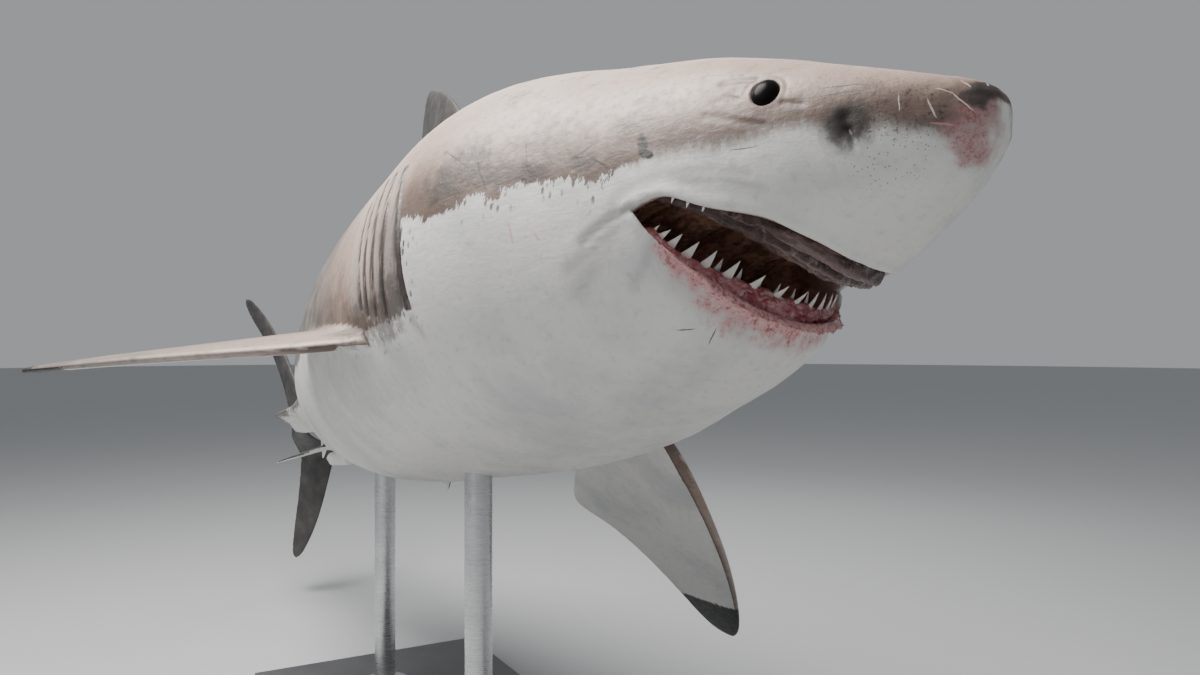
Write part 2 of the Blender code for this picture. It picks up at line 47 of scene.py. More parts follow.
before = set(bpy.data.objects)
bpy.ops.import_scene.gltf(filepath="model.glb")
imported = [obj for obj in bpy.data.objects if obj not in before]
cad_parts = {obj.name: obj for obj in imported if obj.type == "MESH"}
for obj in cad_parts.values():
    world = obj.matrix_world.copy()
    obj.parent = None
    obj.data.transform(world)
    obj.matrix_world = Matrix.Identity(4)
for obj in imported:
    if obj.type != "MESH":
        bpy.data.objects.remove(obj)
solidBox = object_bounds()
bpy.ops.object.select_all(action="DESELECT")
print("frame loaded:", len(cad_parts), "nodes")

sharkLength = 4.0

pose = {                      # degrees
    "neckTurn": 11.2, "neckRise": 1.4, "neckSpan": (0.10, 0.30),
    "tailTurn": -5.5, "tailRise": -4.1, "tailTwist": 13.7, "tailSpan": (0.30, 0.90),
    "bank": 12.5, "noseUp": 9.2, "heading": 10.5,
    "heldAt": 0.40, "heldHeight": 1.15,
}

bodyForm = {
    # back, top, bottom, half width, height of the widest line
    "profile": ((0.00, 0.0048, 0.0048, 0.0000, 0.0048), (0.01, 0.0141, -0.0140, 0.0164, 0.002),
                (0.03, 0.0233, -0.0267, 0.0302, 0.002), (0.06, 0.0382, -0.0401, 0.0456, 0.002),
                (0.10, 0.0556, -0.0588, 0.0604, 0.000), (0.15, 0.0720, -0.0795, 0.0762, -0.004),
                (0.20, 0.0877, -0.0895, 0.0948, -0.006), (0.27, 0.0966, -0.0955, 0.0974, -0.004),
                (0.36, 0.1028, -0.0951, 0.0953, -0.002), (0.46, 0.0974, -0.0933, 0.0905, 0.000),
                (0.56, 0.0797, -0.0775, 0.0758, 0.002), (0.66, 0.0570, -0.0530, 0.0520, 0.003),
                (0.74, 0.0380, -0.0330, 0.0330, 0.003), (0.80, 0.0250, -0.0210, 0.0220, 0.003),
                (0.85, 0.0190, -0.0150, 0.0150, 0.003), (0.89, 0.0130, -0.0080, 0.0050, 0.003)),
    "power": 2.15,            # 2 is an ellipse, more is squarer
    "keel": (0.835, 0.016, 0.04),          # station, width, spread
    "jowl": (0.0036, 0.115, 0.035, 150),   # fullness, station, spread, angle
    "end": 0.889,
}


def smoothStep(value):
    value = np.clip(value, 0.0, 1.0)
    return value * value * (3 - 2 * value)


def bump(value, centre, spread):
    return np.exp(-((value - centre) / spread) ** 2)


# a ridge's height at some distance from its origin; form is its height, its own distance and its spread
def raised(distance, form):
    return form[0] * bump(distance, form[1], form[2])


# 1 up to a start, then down to 0 like a quarter of a circle over this stretch
def roundedEnd(value, start, stretch):
    return np.sqrt(np.clip(1 - np.clip((value - start) / stretch, 0, 1) ** 2, 0, 1))


def splineThrough(knots, values):
    x = np.asarray(knots, float)
    y = np.asarray(values, float)
    gap = np.diff(x)
    count = len(x)
    system = np.eye(count)
    right = np.zeros(count)
    for i in range(1, count - 1):
        system[i, i - 1:i + 2] = (gap[i - 1], 2 * (gap[i - 1] + gap[i]), gap[i])
        right[i] = 6 * ((y[i + 1] - y[i]) / gap[i] - (y[i] - y[i - 1]) / gap[i - 1])
    curl = np.linalg.solve(system, right)

    def valueAt(at):
        at = np.asarray(at, float)
        i = np.clip(np.searchsorted(x, at) - 1, 0, count - 2)
        before = (x[i + 1] - at) / gap[i]
        after = (at - x[i]) / gap[i]
        curve = (before ** 3 - before) * curl[i] + (after ** 3 - after) * curl[i + 1]
        return before * y[i] + after * y[i + 1] + curve * gap[i] ** 2 / 6
    return valueAt


profileRoots = [math.sqrt(row[0]) for row in bodyForm["profile"]]
topLine, bottomLine, halfWidth, widestLine = (
    splineThrough(profileRoots, [row[i] for row in bodyForm["profile"]]) for i in (1, 2, 3, 4))


# body surface in metres, by station and degrees round from the top (+ left)
def hullPoint(back, angle):
    back, angle = np.broadcast_arrays(np.asarray(back, float), np.radians(np.asarray(angle, float)))
    root = np.sqrt(np.clip(back, 0, None))
    across, upward = np.sin(angle), np.cos(angle)
    middle = widestLine(root)
    reach = np.where(upward > 0, topLine(root) - middle, middle - bottomLine(root))
    power = 2 / bodyForm["power"]
    keelBack, keelWidth, keelSpread = bodyForm["keel"]
    keel = keelWidth * bump(back, keelBack, keelSpread) * np.exp(-(1 - np.abs(across)) / 0.02)
    jowlFull, jowlBack, jowlSpread, jowlAngle = bodyForm["jowl"]
    jowl = jowlFull * bump(back, jowlBack, jowlSpread)
    jowl = jowl * bump(np.arccos(np.clip(upward, -1, 1)), math.radians(jowlAngle), 0.5)
    side = np.sign(across) * (halfWidth(root) * np.abs(across) ** power + keel) + jowl * across
    up = middle + reach * np.sign(upward) * np.abs(upward) ** power + jowl * upward
    return np.stack((side, back, up), axis=-1) * sharkLength


# side, back and height over the widest line of straight points in metres, as fractions of the length,
# and the body's half width and its reach up or down from that line at their stations
def crossSection(points):
    side, back, up = (points / sharkLength).T
    root = np.sqrt(np.clip(back, 1e-6, None))
    middle = widestLine(root)
    reach = np.where(up > middle, topLine(root) - middle, middle - bottomLine(root))
    return side, back, up - middle, halfWidth(root), reach


# the other way round: station and angle of straight points in metres
def hullPlace(points):
    side, back, height, half, reach = crossSection(points)
    power = bodyForm["power"] / 2
    across = (np.abs(side) / np.maximum(half, 1e-5)) ** power
    upward = (np.abs(height) / np.maximum(reach, 1e-5)) ** power
    angle = np.degrees(np.arctan2(across, upward * np.sign(height)))
    return back, angle * np.sign(side + 1e-9)


spineStep = 0.001             # share of the length between two points of the spine


def buildSpine():
    place = np.zeros(3)
    rows = []
    for i in range(1101):
        back = i * spineStep
        neckStart, neckEnd = pose["neckSpan"]
        tailStart, tailEnd = pose["tailSpan"]
        neck = float(smoothStep((back - neckStart) / (neckEnd - neckStart)))
        tail = min(max((back - tailStart) / (tailEnd - tailStart), 0.0), 1.2) ** 1.5
        turn = math.radians(pose["neckTurn"] * neck + pose["tailTurn"] * tail)
        rise = math.radians(pose["neckRise"] * neck + pose["tailRise"] * tail)
        twist = math.radians(pose["tailTwist"] * tail)
        along = np.array((math.sin(turn) * math.cos(rise), math.cos(turn) * math.cos(rise), math.sin(rise)))
        level = np.array((math.cos(turn), -math.sin(turn), 0.0))
        upright = np.cross(level, along)
        rows.append(np.concatenate((place, level * math.cos(twist) + upright * math.sin(twist), along,
                                    upright * math.cos(twist) - level * math.sin(twist))))
        place = place + along * spineStep
    return np.array(rows)


spine = buildSpine()
spineStations = np.arange(len(spine)) * spineStep


def buildPose():
    turned = (Matrix.Rotation(math.radians(pose["heading"]), 4, "Z")
              @ Matrix.Rotation(math.radians(-pose["noseUp"]), 4, "X")
              @ Matrix.Rotation(math.radians(pose["bank"]), 4, "Y"))
    held = turned @ Vector(spine[round(pose["heldAt"] / spineStep), :3] * sharkLength)
    return np.array(Matrix.Translation(Vector((0, 0, pose["heldHeight"])) - held) @ turned)


poseMatrix = buildPose()


# straight points in metres, bent and banked
def placed(points):
    points = np.atleast_2d(points)
    back = np.clip(points[:, 1] / sharkLength, 0, 1)
    row = np.stack([np.interp(back, spineStations, spine[:, i]) for i in range(12)], axis=1)
    side, along, up = (row[:, i:i + 3] / np.linalg.norm(row[:, i:i + 3], axis=1)[:, None] for i in (3, 6, 9))
    ahead = np.minimum(points[:, 1], 0)[:, None]
    bent = row[:, :3] * sharkLength + side * points[:, :1] + up * points[:, 2:] + along * ahead
    return bent @ poseMatrix[:3, :3].T + poseMatrix[:3, 3]


def distanceToPath(points, path):
    nearest = np.full(len(points), 1e3)
    for start, end in zip(path, path[1:]):
        along = end - start
        at = np.clip(((points - start) @ along) / (along @ along), 0, 1)
        nearest = np.minimum(nearest, np.linalg.norm(points - start - at[:, None] * along, axis=1))
    return nearest


def roughness(points, scale, seed=0.0):
    return np.array([noise.noise(Vector(point) * scale + Vector((seed, 0, 0))) for point in points])


def readPoints(piece, layer="co"):
    values = np.empty(len(piece.data.vertices) * 3)
    piece.data.vertices.foreach_get(layer, values)
    return values.reshape(-1, 3)


def writePoints(piece, points):
    piece.data.vertices.foreach_set("co", np.ascontiguousarray(points, float).ravel())
    piece.data.update()


def onlySelect(piece):
    bpy.ops.object.select_all(action="DESELECT")
    piece.select_set(True)
    bpy.context.view_layer.objects.active = piece


def editMesh(piece, *steps):
    onlySelect(piece)
    bpy.ops.object.mode_set(mode="EDIT")
    for step, options in steps:
        step(**options)
    bpy.ops.object.mode_set(mode="OBJECT")


def outward(piece):
    editMesh(piece, (bpy.ops.mesh.select_all, {"action": "SELECT"}),
             (bpy.ops.mesh.normals_make_consistent, {"inside": False}))


# A ball whose rows run from one pole to the other; shape sets each point by row and turn
def roundedPiece(name, segments, rings, shape):
    bpy.ops.mesh.primitive_uv_sphere_add(segments=segments, ring_count=rings, radius=1.0)
    piece = bpy.context.object
    piece.name = piece.data.name = name
    writePoints(piece, shape(*ballPlace(readPoints(piece))))
    outward(piece)
    bpy.ops.object.shade_smooth()
    return piece


# row from 0 to 1 between the poles, and turn from -180 to 180 degrees
def ballPlace(points):
    points = points / np.linalg.norm(points, axis=1)[:, None]
    row = np.arccos(np.clip(points[:, 2], -1, 1)) / math.pi
    return row, np.degrees(np.arctan2(points[:, 1], points[:, 0]))


def applyModifier(piece, kind, **settings):
    onlySelect(piece)
    step = piece.modifiers.new(kind.lower(), kind)
    for key, value in settings.items():
        setattr(step, key, value)
    bpy.ops.object.modifier_apply(modifier=step.name)


# A named stand-in material that tells the parts of the skin from each other
def mark(piece, name):
    piece.data.materials.clear()
    piece.data.materials.append(bpy.data.materials.get(name) or bpy.data.materials.new(name))


def storeAttribute(piece, name, values, kind="FLOAT"):
    layer = piece.data.attributes.new(name, kind, "POINT")
    field = "vector" if kind == "FLOAT_VECTOR" else "value"
    layer.data.foreach_set(field, np.ascontiguousarray(values, float).ravel())


mouth = {
    # side view, (back, up): the gape as it is cut at the outside, and as it widens inside
    "outer": ((0.0300, -0.0700), (0.0480, -0.0500),
              (0.0535, -0.0374), (0.0560, -0.0344), (0.0605, -0.0312), (0.0642, -0.0284), (0.0700, -0.0262),
              (0.0777, -0.0243), (0.0840, -0.0222), (0.0892, -0.0197), (0.0950, -0.0175), (0.1015, -0.0181),
              (0.1075, -0.0203),
              (0.1058, -0.0232), (0.1036, -0.0274), (0.1019, -0.0301), (0.1003, -0.0324), (0.0977, -0.0359),
              (0.0961, -0.0384), (0.0938, -0.0410), (0.0915, -0.0434), (0.0906, -0.0462), (0.0900, -0.0520),
              (0.0850, -0.0720), (0.0600, -0.0780)),
    "inner": ((0.0300, -0.0700), (0.0480, -0.0500),
              (0.0535, -0.0374), (0.0562, -0.0350), (0.0615, -0.0318), (0.0670, -0.0285), (0.0740, -0.0235),
              (0.0820, -0.0170), (0.0930, -0.0110), (0.1060, -0.0085), (0.1200, -0.0085), (0.1340, -0.0115),
              (0.1480, -0.0180),
              (0.1570, -0.0270), (0.1570, -0.0350), (0.1500, -0.0420), (0.1400, -0.0460), (0.1290, -0.0480),
              (0.1180, -0.0490), (0.1090, -0.0495), (0.1010, -0.0500), (0.0955, -0.0505), (0.0920, -0.0530),
              (0.0850, -0.0720), (0.0600, -0.0780)),
    "lipEnds": (2, 12, 22),    # the outline's points at the upper lip's front, the corner and the jaw's front
    "halfWidth": 0.085,
    "lipWall": 0.0022, "lipWiden": 0.0110,    # depth where the gape starts to widen, and over what depth
    "jawRound": (0.0026, 0.032),              # how far the jaw's middle stands forward, half width of that
    "jawInset": 0.0058,        # how far the jaw sits inside the line of the head along its lip
    "roundOver": 0.013,        # how far the rounding of the lips reaches, m
}

eyeForm = {
    "place": (0.0600, 73.2), "radii": (0.0224, 0.0192, 0.0120), "sunk": 0.0048,
    "socket": 0.0065,                      # depth in the skin
    "rim": (0.0004, 1.22, 0.18),           # height, distance in eye radii, spread
    "lid": (0.0008, 1.50, 0.16),           # the crease over the eye, likewise
}

nostrilForm = {
    "place": (0.0355, 97.5), "slit": ((0.0356, 95.0), (0.0352, 101.0), (0.0345, 107.0), (0.0347, 114.0)),
    "pit": (0.0042, 0.0080), "fold": (0.0026, 0.0036),    # depth and half width: above, and down to the mouth
}

gillForm = {
    # degrees from the top; each slit's station at them; how far its line is followed beyond them
    "angles": (64, 78, 90, 102, 114), "reach": (60, 118),
    "slits": ((0.2290, 0.2205, 0.2140, 0.2112, 0.2095), (0.2440, 0.2345, 0.2295, 0.2290, 0.2300),
              (0.2590, 0.2490, 0.2430, 0.2410, 0.2425), (0.2740, 0.2630, 0.2560, 0.2525, 0.2530),
              (0.2860, 0.2760, 0.2680, 0.2625, 0.2620)),
    "starts": (68, 67, 66, 67, 69), "ends": (115, 114, 112, 110, 107),
    # height, distance behind the slit and spread; the slope's depth and how fast it rises again
    "groove": (0.0105, 0.0030, 0.0042), "flap": (0.0007, -0.007, 0.006), "slope": (0.0034, 0.016),
}

creases = (  # (station, angle) along the crease, depth and half width in m, sides
    (((0.0535, 81.5), (0.0480, 83.8)), 0.0022, 0.0045, (-1, 1)),
    (((0.0760, 64.5), (0.0720, 63.8), (0.0650, 63.0)), 0.0030, 0.0060, (-1, 1)),
    (((0.0765, 76.5), (0.0720, 74.2), (0.0680, 76.5)), 0.0016, 0.0034, (-1, 1)),
    (((0.0790, 83.5), (0.0755, 84.2), (0.0670, 88.5), (0.0590, 91.8)), 0.0016, 0.0045, (-1, 1)),
    (((0.1069, 107.3), (0.1134, 107.5), (0.1189, 108.5), (0.1270, 111.0)), 0.0040, 0.0065, (-1, 1)),
    (((0.1110, 110.5), (0.1210, 113.5), (0.1340, 117.5)), 0.0016, 0.0100, (-1, 1)),
    (((0.1130, 114.0), (0.1220, 119.0), (0.1330, 125.0)), 0.0012, 0.0120, (-1, 1)),
    (((0.0869, 105.5), (0.0745, 109.5), (0.0620, 119.3)), 0.0012, 0.0040, (-1, 1)),
    (((0.0900, 101.5), (0.0770, 104.5), (0.0650, 111.0)), 0.0009, 0.0050, (-1, 1)),
    (((0.0970, 118.0), (0.1050, 126.0), (0.1130, 131.0)), 0.0012, 0.0060, (-1, 1)),
    (((0.2134, 98.5), (0.2134, 105.8), (0.2114, 113.5), (0.2080, 122.0)), 0.0016, 0.0060, (-1,)),
)


# signed side-view distance to the gape's outline in metres, + outside
def besideGape(back, up):
    outline = [np.array(point) * sharkLength for point in mouth["outer"]]
    points = np.stack((back, up), axis=1)
    nearest = distanceToPath(points, outline + outline[:1])
    inside = np.zeros(len(points), bool)
    for start, end in zip(outline, outline[1:] + outline[:1]):
        crosses = (start[1] > points[:, 1]) != (end[1] > points[:, 1])
        rise = end[1] - start[1] if abs(end[1] - start[1]) > 1e-9 else 1e-9
        at = start[0] + (points[:, 1] - start[1]) / rise * (end[0] - start[0])
        inside ^= crosses & (points[:, 0] < at)
    return np.where(inside, -nearest, nearest)


# how far below the line from the mouth's corner to the jaw's front, fractions of the length
def jawSide(back, up):
    corner, last = mouth["lipEnds"][1:]
    start, end = np.array(mouth["outer"][corner]), np.array(mouth["outer"][last])
    along = (end - start) / np.linalg.norm(end - start)
    return (back - start[0]) * -along[1] + (up - start[1]) * along[0]


def eyeAxes(hand):
    back, angle = eyeForm["place"]
    seat = hullPoint(back, angle * hand)
    along = hullPoint(back + 0.002, angle * hand) - hullPoint(back - 0.002, angle * hand)
    around = hullPoint(back, angle * hand + 1) - hullPoint(back, angle * hand - 1)
    along, around = (axis / np.linalg.norm(axis) for axis in (along, around))
    out = np.cross(around, along)
    out = out / np.linalg.norm(out)
    if out[0] * hand < 0:
        out = -out
    return seat, along, around, out


# distance from an eye's middle in eye radii, and how far up and behind it a point lies, 0 to 1
def eyeRing(points, hand):
    seat, along, around = eyeAxes(hand)[:3]
    offset = points - seat
    a, b = offset @ along / eyeForm["radii"][1], offset @ around / eyeForm["radii"][0]
    ring = np.where(np.linalg.norm(offset, axis=1) < 0.10, np.hypot(a, b), 9.0)
    return ring, smoothStep(0.5 - 0.8 * b * hand)


# socket, rim and lid creases round both eyes, and how deep in the socket a point is
def eyeRelief(points):
    relief = np.zeros(len(points))
    for hand in (-1, 1):
        ring, upper = eyeRing(points, hand)
        relief -= eyeForm["socket"] * smoothStep((1.12 - ring) / 0.35)
        relief += raised(ring, eyeForm["rim"]) - raised(ring, eyeForm["lid"]) * upper
    return relief


def nostrilRelief(points):
    relief = np.zeros(len(points))
    for hand in (-1, 1):
        slit = [hullPoint(back, angle * hand) for back, angle in nostrilForm["slit"]]
        for path, (depth, width) in ((slit[:2], nostrilForm["pit"]), (slit[1:], nostrilForm["fold"])):
            relief -= depth * bump(distanceToPath(points, path), 0, width)
    return relief


# a slit's station at these angles from the top
def slitLine(slit, size):
    return splineThrough(gillForm["angles"], slit)(np.clip(size, *gillForm["reach"]))


# distance behind the nearest slit ahead (m), and how strongly the slit shows there
def gillPhase(back, angle):
    behind = np.full(len(back), 9.0)
    strength = np.zeros(len(back))
    size = np.abs(angle)
    for slit, start, end in zip(gillForm["slits"], gillForm["starts"], gillForm["ends"]):
        gap = (back - slitLine(slit, size)) * sharkLength
        shown = smoothStep((size - start) / 7) * smoothStep((end - size) / 5)
        nearer = (gap > -0.012) & (gap < behind + 0.012)
        behind = np.where(nearer, gap, behind)
        strength = np.where(nearer, shown, strength)
    return behind, strength


def gillRelief(back, angle):
    behind, strength = gillPhase(back, angle)
    depth, reach = gillForm["slope"]
    slope = depth * np.exp(-np.clip(behind, 0, None) / reach) * smoothStep(behind / 0.006)
    return (raised(behind, gillForm["flap"]) - raised(behind, gillForm["groove"]) - slope) * strength


skinRelief = {
    "coat": 0.0012,                        # how deep the skin lies under the plain hull
    "tip": (0.0014, 0.006),                # how much deeper at the snout tip, and up to which station
    "lipRidge": (0.0012, 0.006, 0.007),    # height, distance from the lip, spread
    "lipGroove": (0.0010, 0.022, 0.008),
    "throatFolds": (0.0019, 0.055),        # depth, pitch
    # lumps: height, number to the metre, where the noise starts
    "headLumps": ((0.0016, 9.0, 0.0), (0.0007, 26.0, 5.0)),
    "bodyLumps": (0.0020, 3.2, 2.0),
    "snoutLumps": ((0.0022, 34.0, 9.0), (0.0012, 80.0, 3.0)),
}


def lumpy(points, *forms):
    return sum(height * roughness(points, scale, start) for height, scale, start in forms)


# all that stands out of or sinks into the plain body, in metres along its normal
def bodyRelief(points, back, angle):
    size = np.abs(angle)
    height = eyeRelief(points) + nostrilRelief(points) + gillRelief(back, angle)
    for path, depth, width, sides in creases:
        for hand in sides:
            line = [hullPoint(station, turn * hand) for station, turn in path]
            height -= depth * bump(distanceToPath(points, line), 0, width)
    lip = besideGape(points[:, 1], points[:, 2])
    atMouth = smoothStep((0.125 - back) / 0.01)
    height += atMouth * (raised(lip, skinRelief["lipRidge"]) - raised(lip, skinRelief["lipGroove"]))
    onJaw = smoothStep(jawSide(back, points[:, 2] / sharkLength) / 0.002 + 1)
    onJaw = onJaw * smoothStep((0.1080 - back) / 0.016)
    height -= mouth["jawInset"] * sharkLength * onJaw * smoothStep(1 - np.abs(lip) / 0.065)
    throat = smoothStep((back - 0.15) / 0.04) * smoothStep((0.33 - back) / 0.05)
    throat = throat * smoothStep((size - 118) / 20)
    foldHigh, pitch = skinRelief["throatFolds"]
    wander = 1.3 * np.sin(angle / 17.0) + 4 * roughness(points, 2.1)
    height += throat * foldHigh * np.sin(back * sharkLength * 2 * math.pi / pitch + wander)
    onHead = smoothStep((0.24 - back) / 0.10)
    height += lumpy(points, *skinRelief["headLumps"]) * onHead
    height += lumpy(points, skinRelief["bodyLumps"]) * (1 - 0.6 * onHead)
    height += lumpy(points, *skinRelief["snoutLumps"]) * smoothStep((0.022 - back) / 0.018)
    tipDepth, tipEnd = skinRelief["tip"]
    return height - skinRelief["coat"] - tipDepth * smoothStep((tipEnd - back) / tipEnd)


skin = {
    "segments": 160, "rings": 358,
    # share of the rings used up to each station
    "rows": ((0, 0.0), (4, 0.0006), (14, 0.010), (60, 0.050), (140, 0.120), (190, 0.200), (250, 0.280),
             (286, 0.400), (322, 0.620), (358, 1.0)),
    # share of the half girth used up to each angle
    "turns": ((0, 0.0), (12, 55.0), (56, 125.0), (80, 180.0)),
    "rootBlend": 0.075,                    # how far a fin's smooth join reaches, m
    "lipPasses": 9, "rootPasses": 26,      # rounds of smoothing
    "weld": 0.0006, "sliver": 0.0002,      # m
    "soreLumps": ((0.0034, 62.0, 4.0), (0.0022, 130.0, 8.0)),
}


def skinPlace(row, turn):
    rows = np.array(skin["rows"], float)
    turns = np.array(skin["turns"], float)
    back = np.interp(row * skin["rings"], rows[:, 0], rows[:, 1])
    back = np.where(back > 0.62, 0.62 + (back - 0.62) * (bodyForm["end"] - 0.62) / 0.38, back)
    angle = np.interp(np.abs(turn) / 180 * turns[-1, 0], turns[:, 0], turns[:, 1]) * np.sign(turn)
    return back, angle


# subdivide the faces that the test picks by their middle's station and angle
def refine(piece, chosen):
    faces = piece.data.polygons
    middles = np.empty(len(faces) * 3)
    faces.foreach_get("center", middles)
    back, angle = skinPlace(*ballPlace(middles.reshape(-1, 3)))
    piece.data.vertices.foreach_set("select", np.zeros(len(piece.data.vertices), bool))
    piece.data.edges.foreach_set("select", np.zeros(len(piece.data.edges), bool))
    faces.foreach_set("select", chosen(back, angle))
    bpy.context.scene.tool_settings.mesh_select_mode = (False, False, True)
    editMesh(piece, (bpy.ops.mesh.subdivide, {"number_cuts": 1}))


def nearFeatures(back, angle):
    points = hullPoint(back, angle)
    chosen = np.abs(besideGape(points[:, 1], points[:, 2])) < 0.016
    chosen &= back < 0.13
    for hand in (-1, 1):
        for place, reach in ((eyeForm["place"], 0.050), (nostrilForm["place"], 0.038)):
            chosen |= np.linalg.norm(points - hullPoint(place[0], place[1] * hand), axis=1) < reach
    return chosen


def nearGills(back, angle):
    behind, strength = gillPhase(back, angle)
    return (behind < 0.016) & (behind > -0.010) & (strength > 0)


def makeBody():
    bpy.ops.mesh.primitive_uv_sphere_add(segments=skin["segments"], ring_count=skin["rings"], radius=1.0)
    body = bpy.context.object
    body.name = body.data.name = "shark_skin"
    refine(body, nearFeatures)
    refine(body, nearGills)
    back, angle = skinPlace(*ballPlace(readPoints(body)))
    writePoints(body, hullPoint(back, angle))
    outward(body)
    points = readPoints(body)
    writePoints(body, points + readPoints(body, "normal") * bodyRelief(points, back, angle)[:, None])
    mark(body, "partBody")
    return body


# how far straight points lie under the plain body, in fractions of the length
def hullDepth(points):
    side, _, height, half, reach = crossSection(points)
    power = bodyForm["power"]
    share = ((np.abs(side) / half) ** power + (np.abs(height) / reach) ** power) ** (1 / power)
    return np.hypot(side, height) * (1 / np.maximum(share, 0.02) - 1)


# the outline as a function of its point number: smooth along each lip, with the corner kept
def gapeOutline(points):
    points = np.array(points)
    front, corner, last = mouth["lipEnds"]
    closed = np.vstack((points, points[:1]))
    numbers = np.arange(len(closed))
    lips = [(low, high, [splineThrough(numbers[low:high + 1], closed[low:high + 1, i]) for i in (0, 1)])
            for low, high in ((front, corner), (corner, last))]

    def outlineAt(at):
        spot = np.stack([np.interp(at, numbers, closed[:, i]) for i in (0, 1)], axis=1)
        for low, high, curves in lips:
            on = (at >= low) & (at <= high)
            spot[on] = np.stack([curve(at[on]) for curve in curves], axis=1)
        return spot
    return outlineAt


# the gape and the hollow behind it, as one closed cutter with palate folds on its roof
def mouthHollow():
    outer, inner = gapeOutline(mouth["outer"]), gapeOutline(mouth["inner"])
    count = len(mouth["outer"])
    front, corner, last = mouth["lipEnds"]

    def shape(row, turn):
        side = -mouth["halfWidth"] * np.cos(math.pi * np.clip((row - 0.01) / 0.98, 0, 1))
        at = (turn + 180) / 360 * count
        spot = outer(at)
        depth = hullDepth(np.column_stack((side, spot)) * sharkLength)
        opened = smoothStep((depth - mouth["lipWall"]) / mouth["lipWiden"])
        spot = spot + (inner(at) - spot) * opened[:, None]
        forward, width = mouth["jawRound"]
        jawFront = smoothStep((at - last + 5) / 4) * smoothStep((last + 2 - at) / 1.5)
        spot[:, 0] -= forward * jawFront * np.clip(1 - (side / width) ** 2, 0, 1)
        roof = smoothStep((at - front - 1.0) / 1.5) * smoothStep((corner + 2 - at) / 2) * opened
        across = np.abs(side)
        lobes = bump(across, 0.020, 0.0085) * smoothStep((at - 6.5) / 1.5) * smoothStep((12.5 - at) / 1.5)
        valley = bump(side, 0, 0.006) * smoothStep((at - 6.5) / 1.5) + 0.7 * bump(at, 6.6, 0.5)
        spot[:, 1] -= roof * (0.0075 * lobes - 0.0030 * valley)
        cap = (row < 0.005) | (row > 0.995)
        spot[cap] = np.mean(mouth["outer"], axis=0)
        return np.column_stack((side, spot)) * sharkLength
    hollow = roundedPiece("mouth_hollow", 200, 110, shape)
    mark(hollow, "partMouth")
    return hollow


finForms = {  # both edges as (out or up, back) in fractions of the length
    "pectoral": {"leading": ((-0.036, -0.006), (0.000, 0.000), (0.032, 0.010), (0.070, 0.032), (0.110, 0.061),
                             (0.147, 0.096), (0.170, 0.124), (0.178, 0.140)),
                 "trailing": ((-0.036, 0.098), (0.004, 0.120), (0.028, 0.161), (0.056, 0.154), (0.094, 0.148),
                              (0.133, 0.152), (0.163, 0.155), (0.177, 0.146)),
                 "thick": 0.017, "ragged": 0.0004},
    "pelvic": {"leading": ((-0.015, -0.002), (0.000, 0.000), (0.012, 0.011), (0.024, 0.027), (0.031, 0.043)),
               "trailing": ((-0.015, 0.040), (0.002, 0.044), (0.012, 0.055), (0.023, 0.053), (0.030, 0.048)),
               "thick": 0.007, "ragged": 0.0003},
    "dorsal": {"leading": ((0.070, 0.372), (0.104, 0.385), (0.138, 0.408), (0.172, 0.436), (0.204, 0.470),
                           (0.227, 0.508)),
               "trailing": ((0.070, 0.480), (0.104, 0.532), (0.126, 0.518), (0.158, 0.518), (0.196, 0.522),
                            (0.226, 0.518)), "thick": 0.016, "ragged": 0.0013},
    "secondDorsal": {"leading": ((0.020, 0.738), (0.038, 0.744), (0.050, 0.756), (0.058, 0.768)),
                     "trailing": ((0.020, 0.758), (0.036, 0.778), (0.047, 0.774), (0.057, 0.774)),
                     "thick": 0.005, "ragged": 0.0002},
    "anal": {"leading": ((0.012, 0.752), (0.030, 0.758), (0.042, 0.770), (0.050, 0.782)),
             "trailing": ((0.012, 0.772), (0.028, 0.790), (0.040, 0.788), (0.049, 0.788)),
             "thick": 0.005, "ragged": 0.0002},
    "caudalUpper": {"leading": ((0.004, 0.848), (0.020, 0.850), (0.055, 0.876), (0.096, 0.908),
                                (0.140, 0.948), (0.172, 0.986)),
                    "trailing": ((0.004, 0.896), (0.020, 0.902), (0.053, 0.916), (0.098, 0.944),
                                 (0.140, 0.980), (0.171, 0.998)), "thick": 0.013, "ragged": 0.0006},
    "caudalLower": {"leading": ((-0.003, 0.848), (0.014, 0.852), (0.045, 0.866), (0.082, 0.882),
                                (0.118, 0.902), (0.145, 0.926)),
                    "trailing": ((-0.003, 0.896), (0.014, 0.902), (0.040, 0.908), (0.074, 0.916),
                                 (0.112, 0.928), (0.143, 0.936)), "thick": 0.013, "ragged": 0.0006},
}

pairedSets = {  # hand, station, angle, droop, sweep, pitch
    "pectoralRight": (-1, 0.2625, 115.5, 17.4, -10.7, 12.5),
    "pectoralLeft": (1, 0.2800, 123.0, 38.5, 6.8, -5.4),
    "pelvicRight": (-1, 0.550, 143, 18, 0, 0),
    "pelvicLeft": (1, 0.550, 143, 60, 0, 0),
}
caudalCurl = {"amount": 0.55, "rear": 0.925}    # the lower lobe's swing to one side, none at this station


def pairedFrame(name):
    hand, back, angle, droop, sweep, pitch = pairedSets[name]
    root = Vector(hullPoint(back, angle * hand))
    turned = Matrix.Identity(4)
    for turn, axis in ((droop * hand, "Y"), (pitch, "X"), (-sweep * hand, "Z")):
        turned = turned @ Matrix.Rotation(math.radians(turn), 4, axis)
    return np.array(Matrix.Translation(root) @ turned), hand


def finEdges(form):
    count = len(form["leading"])
    knots = np.arange(count) / (count - 1)
    return [splineThrough(knots, [point[i] for point in form[edge]])
            for edge in ("leading", "trailing") for i in (0, 1)]


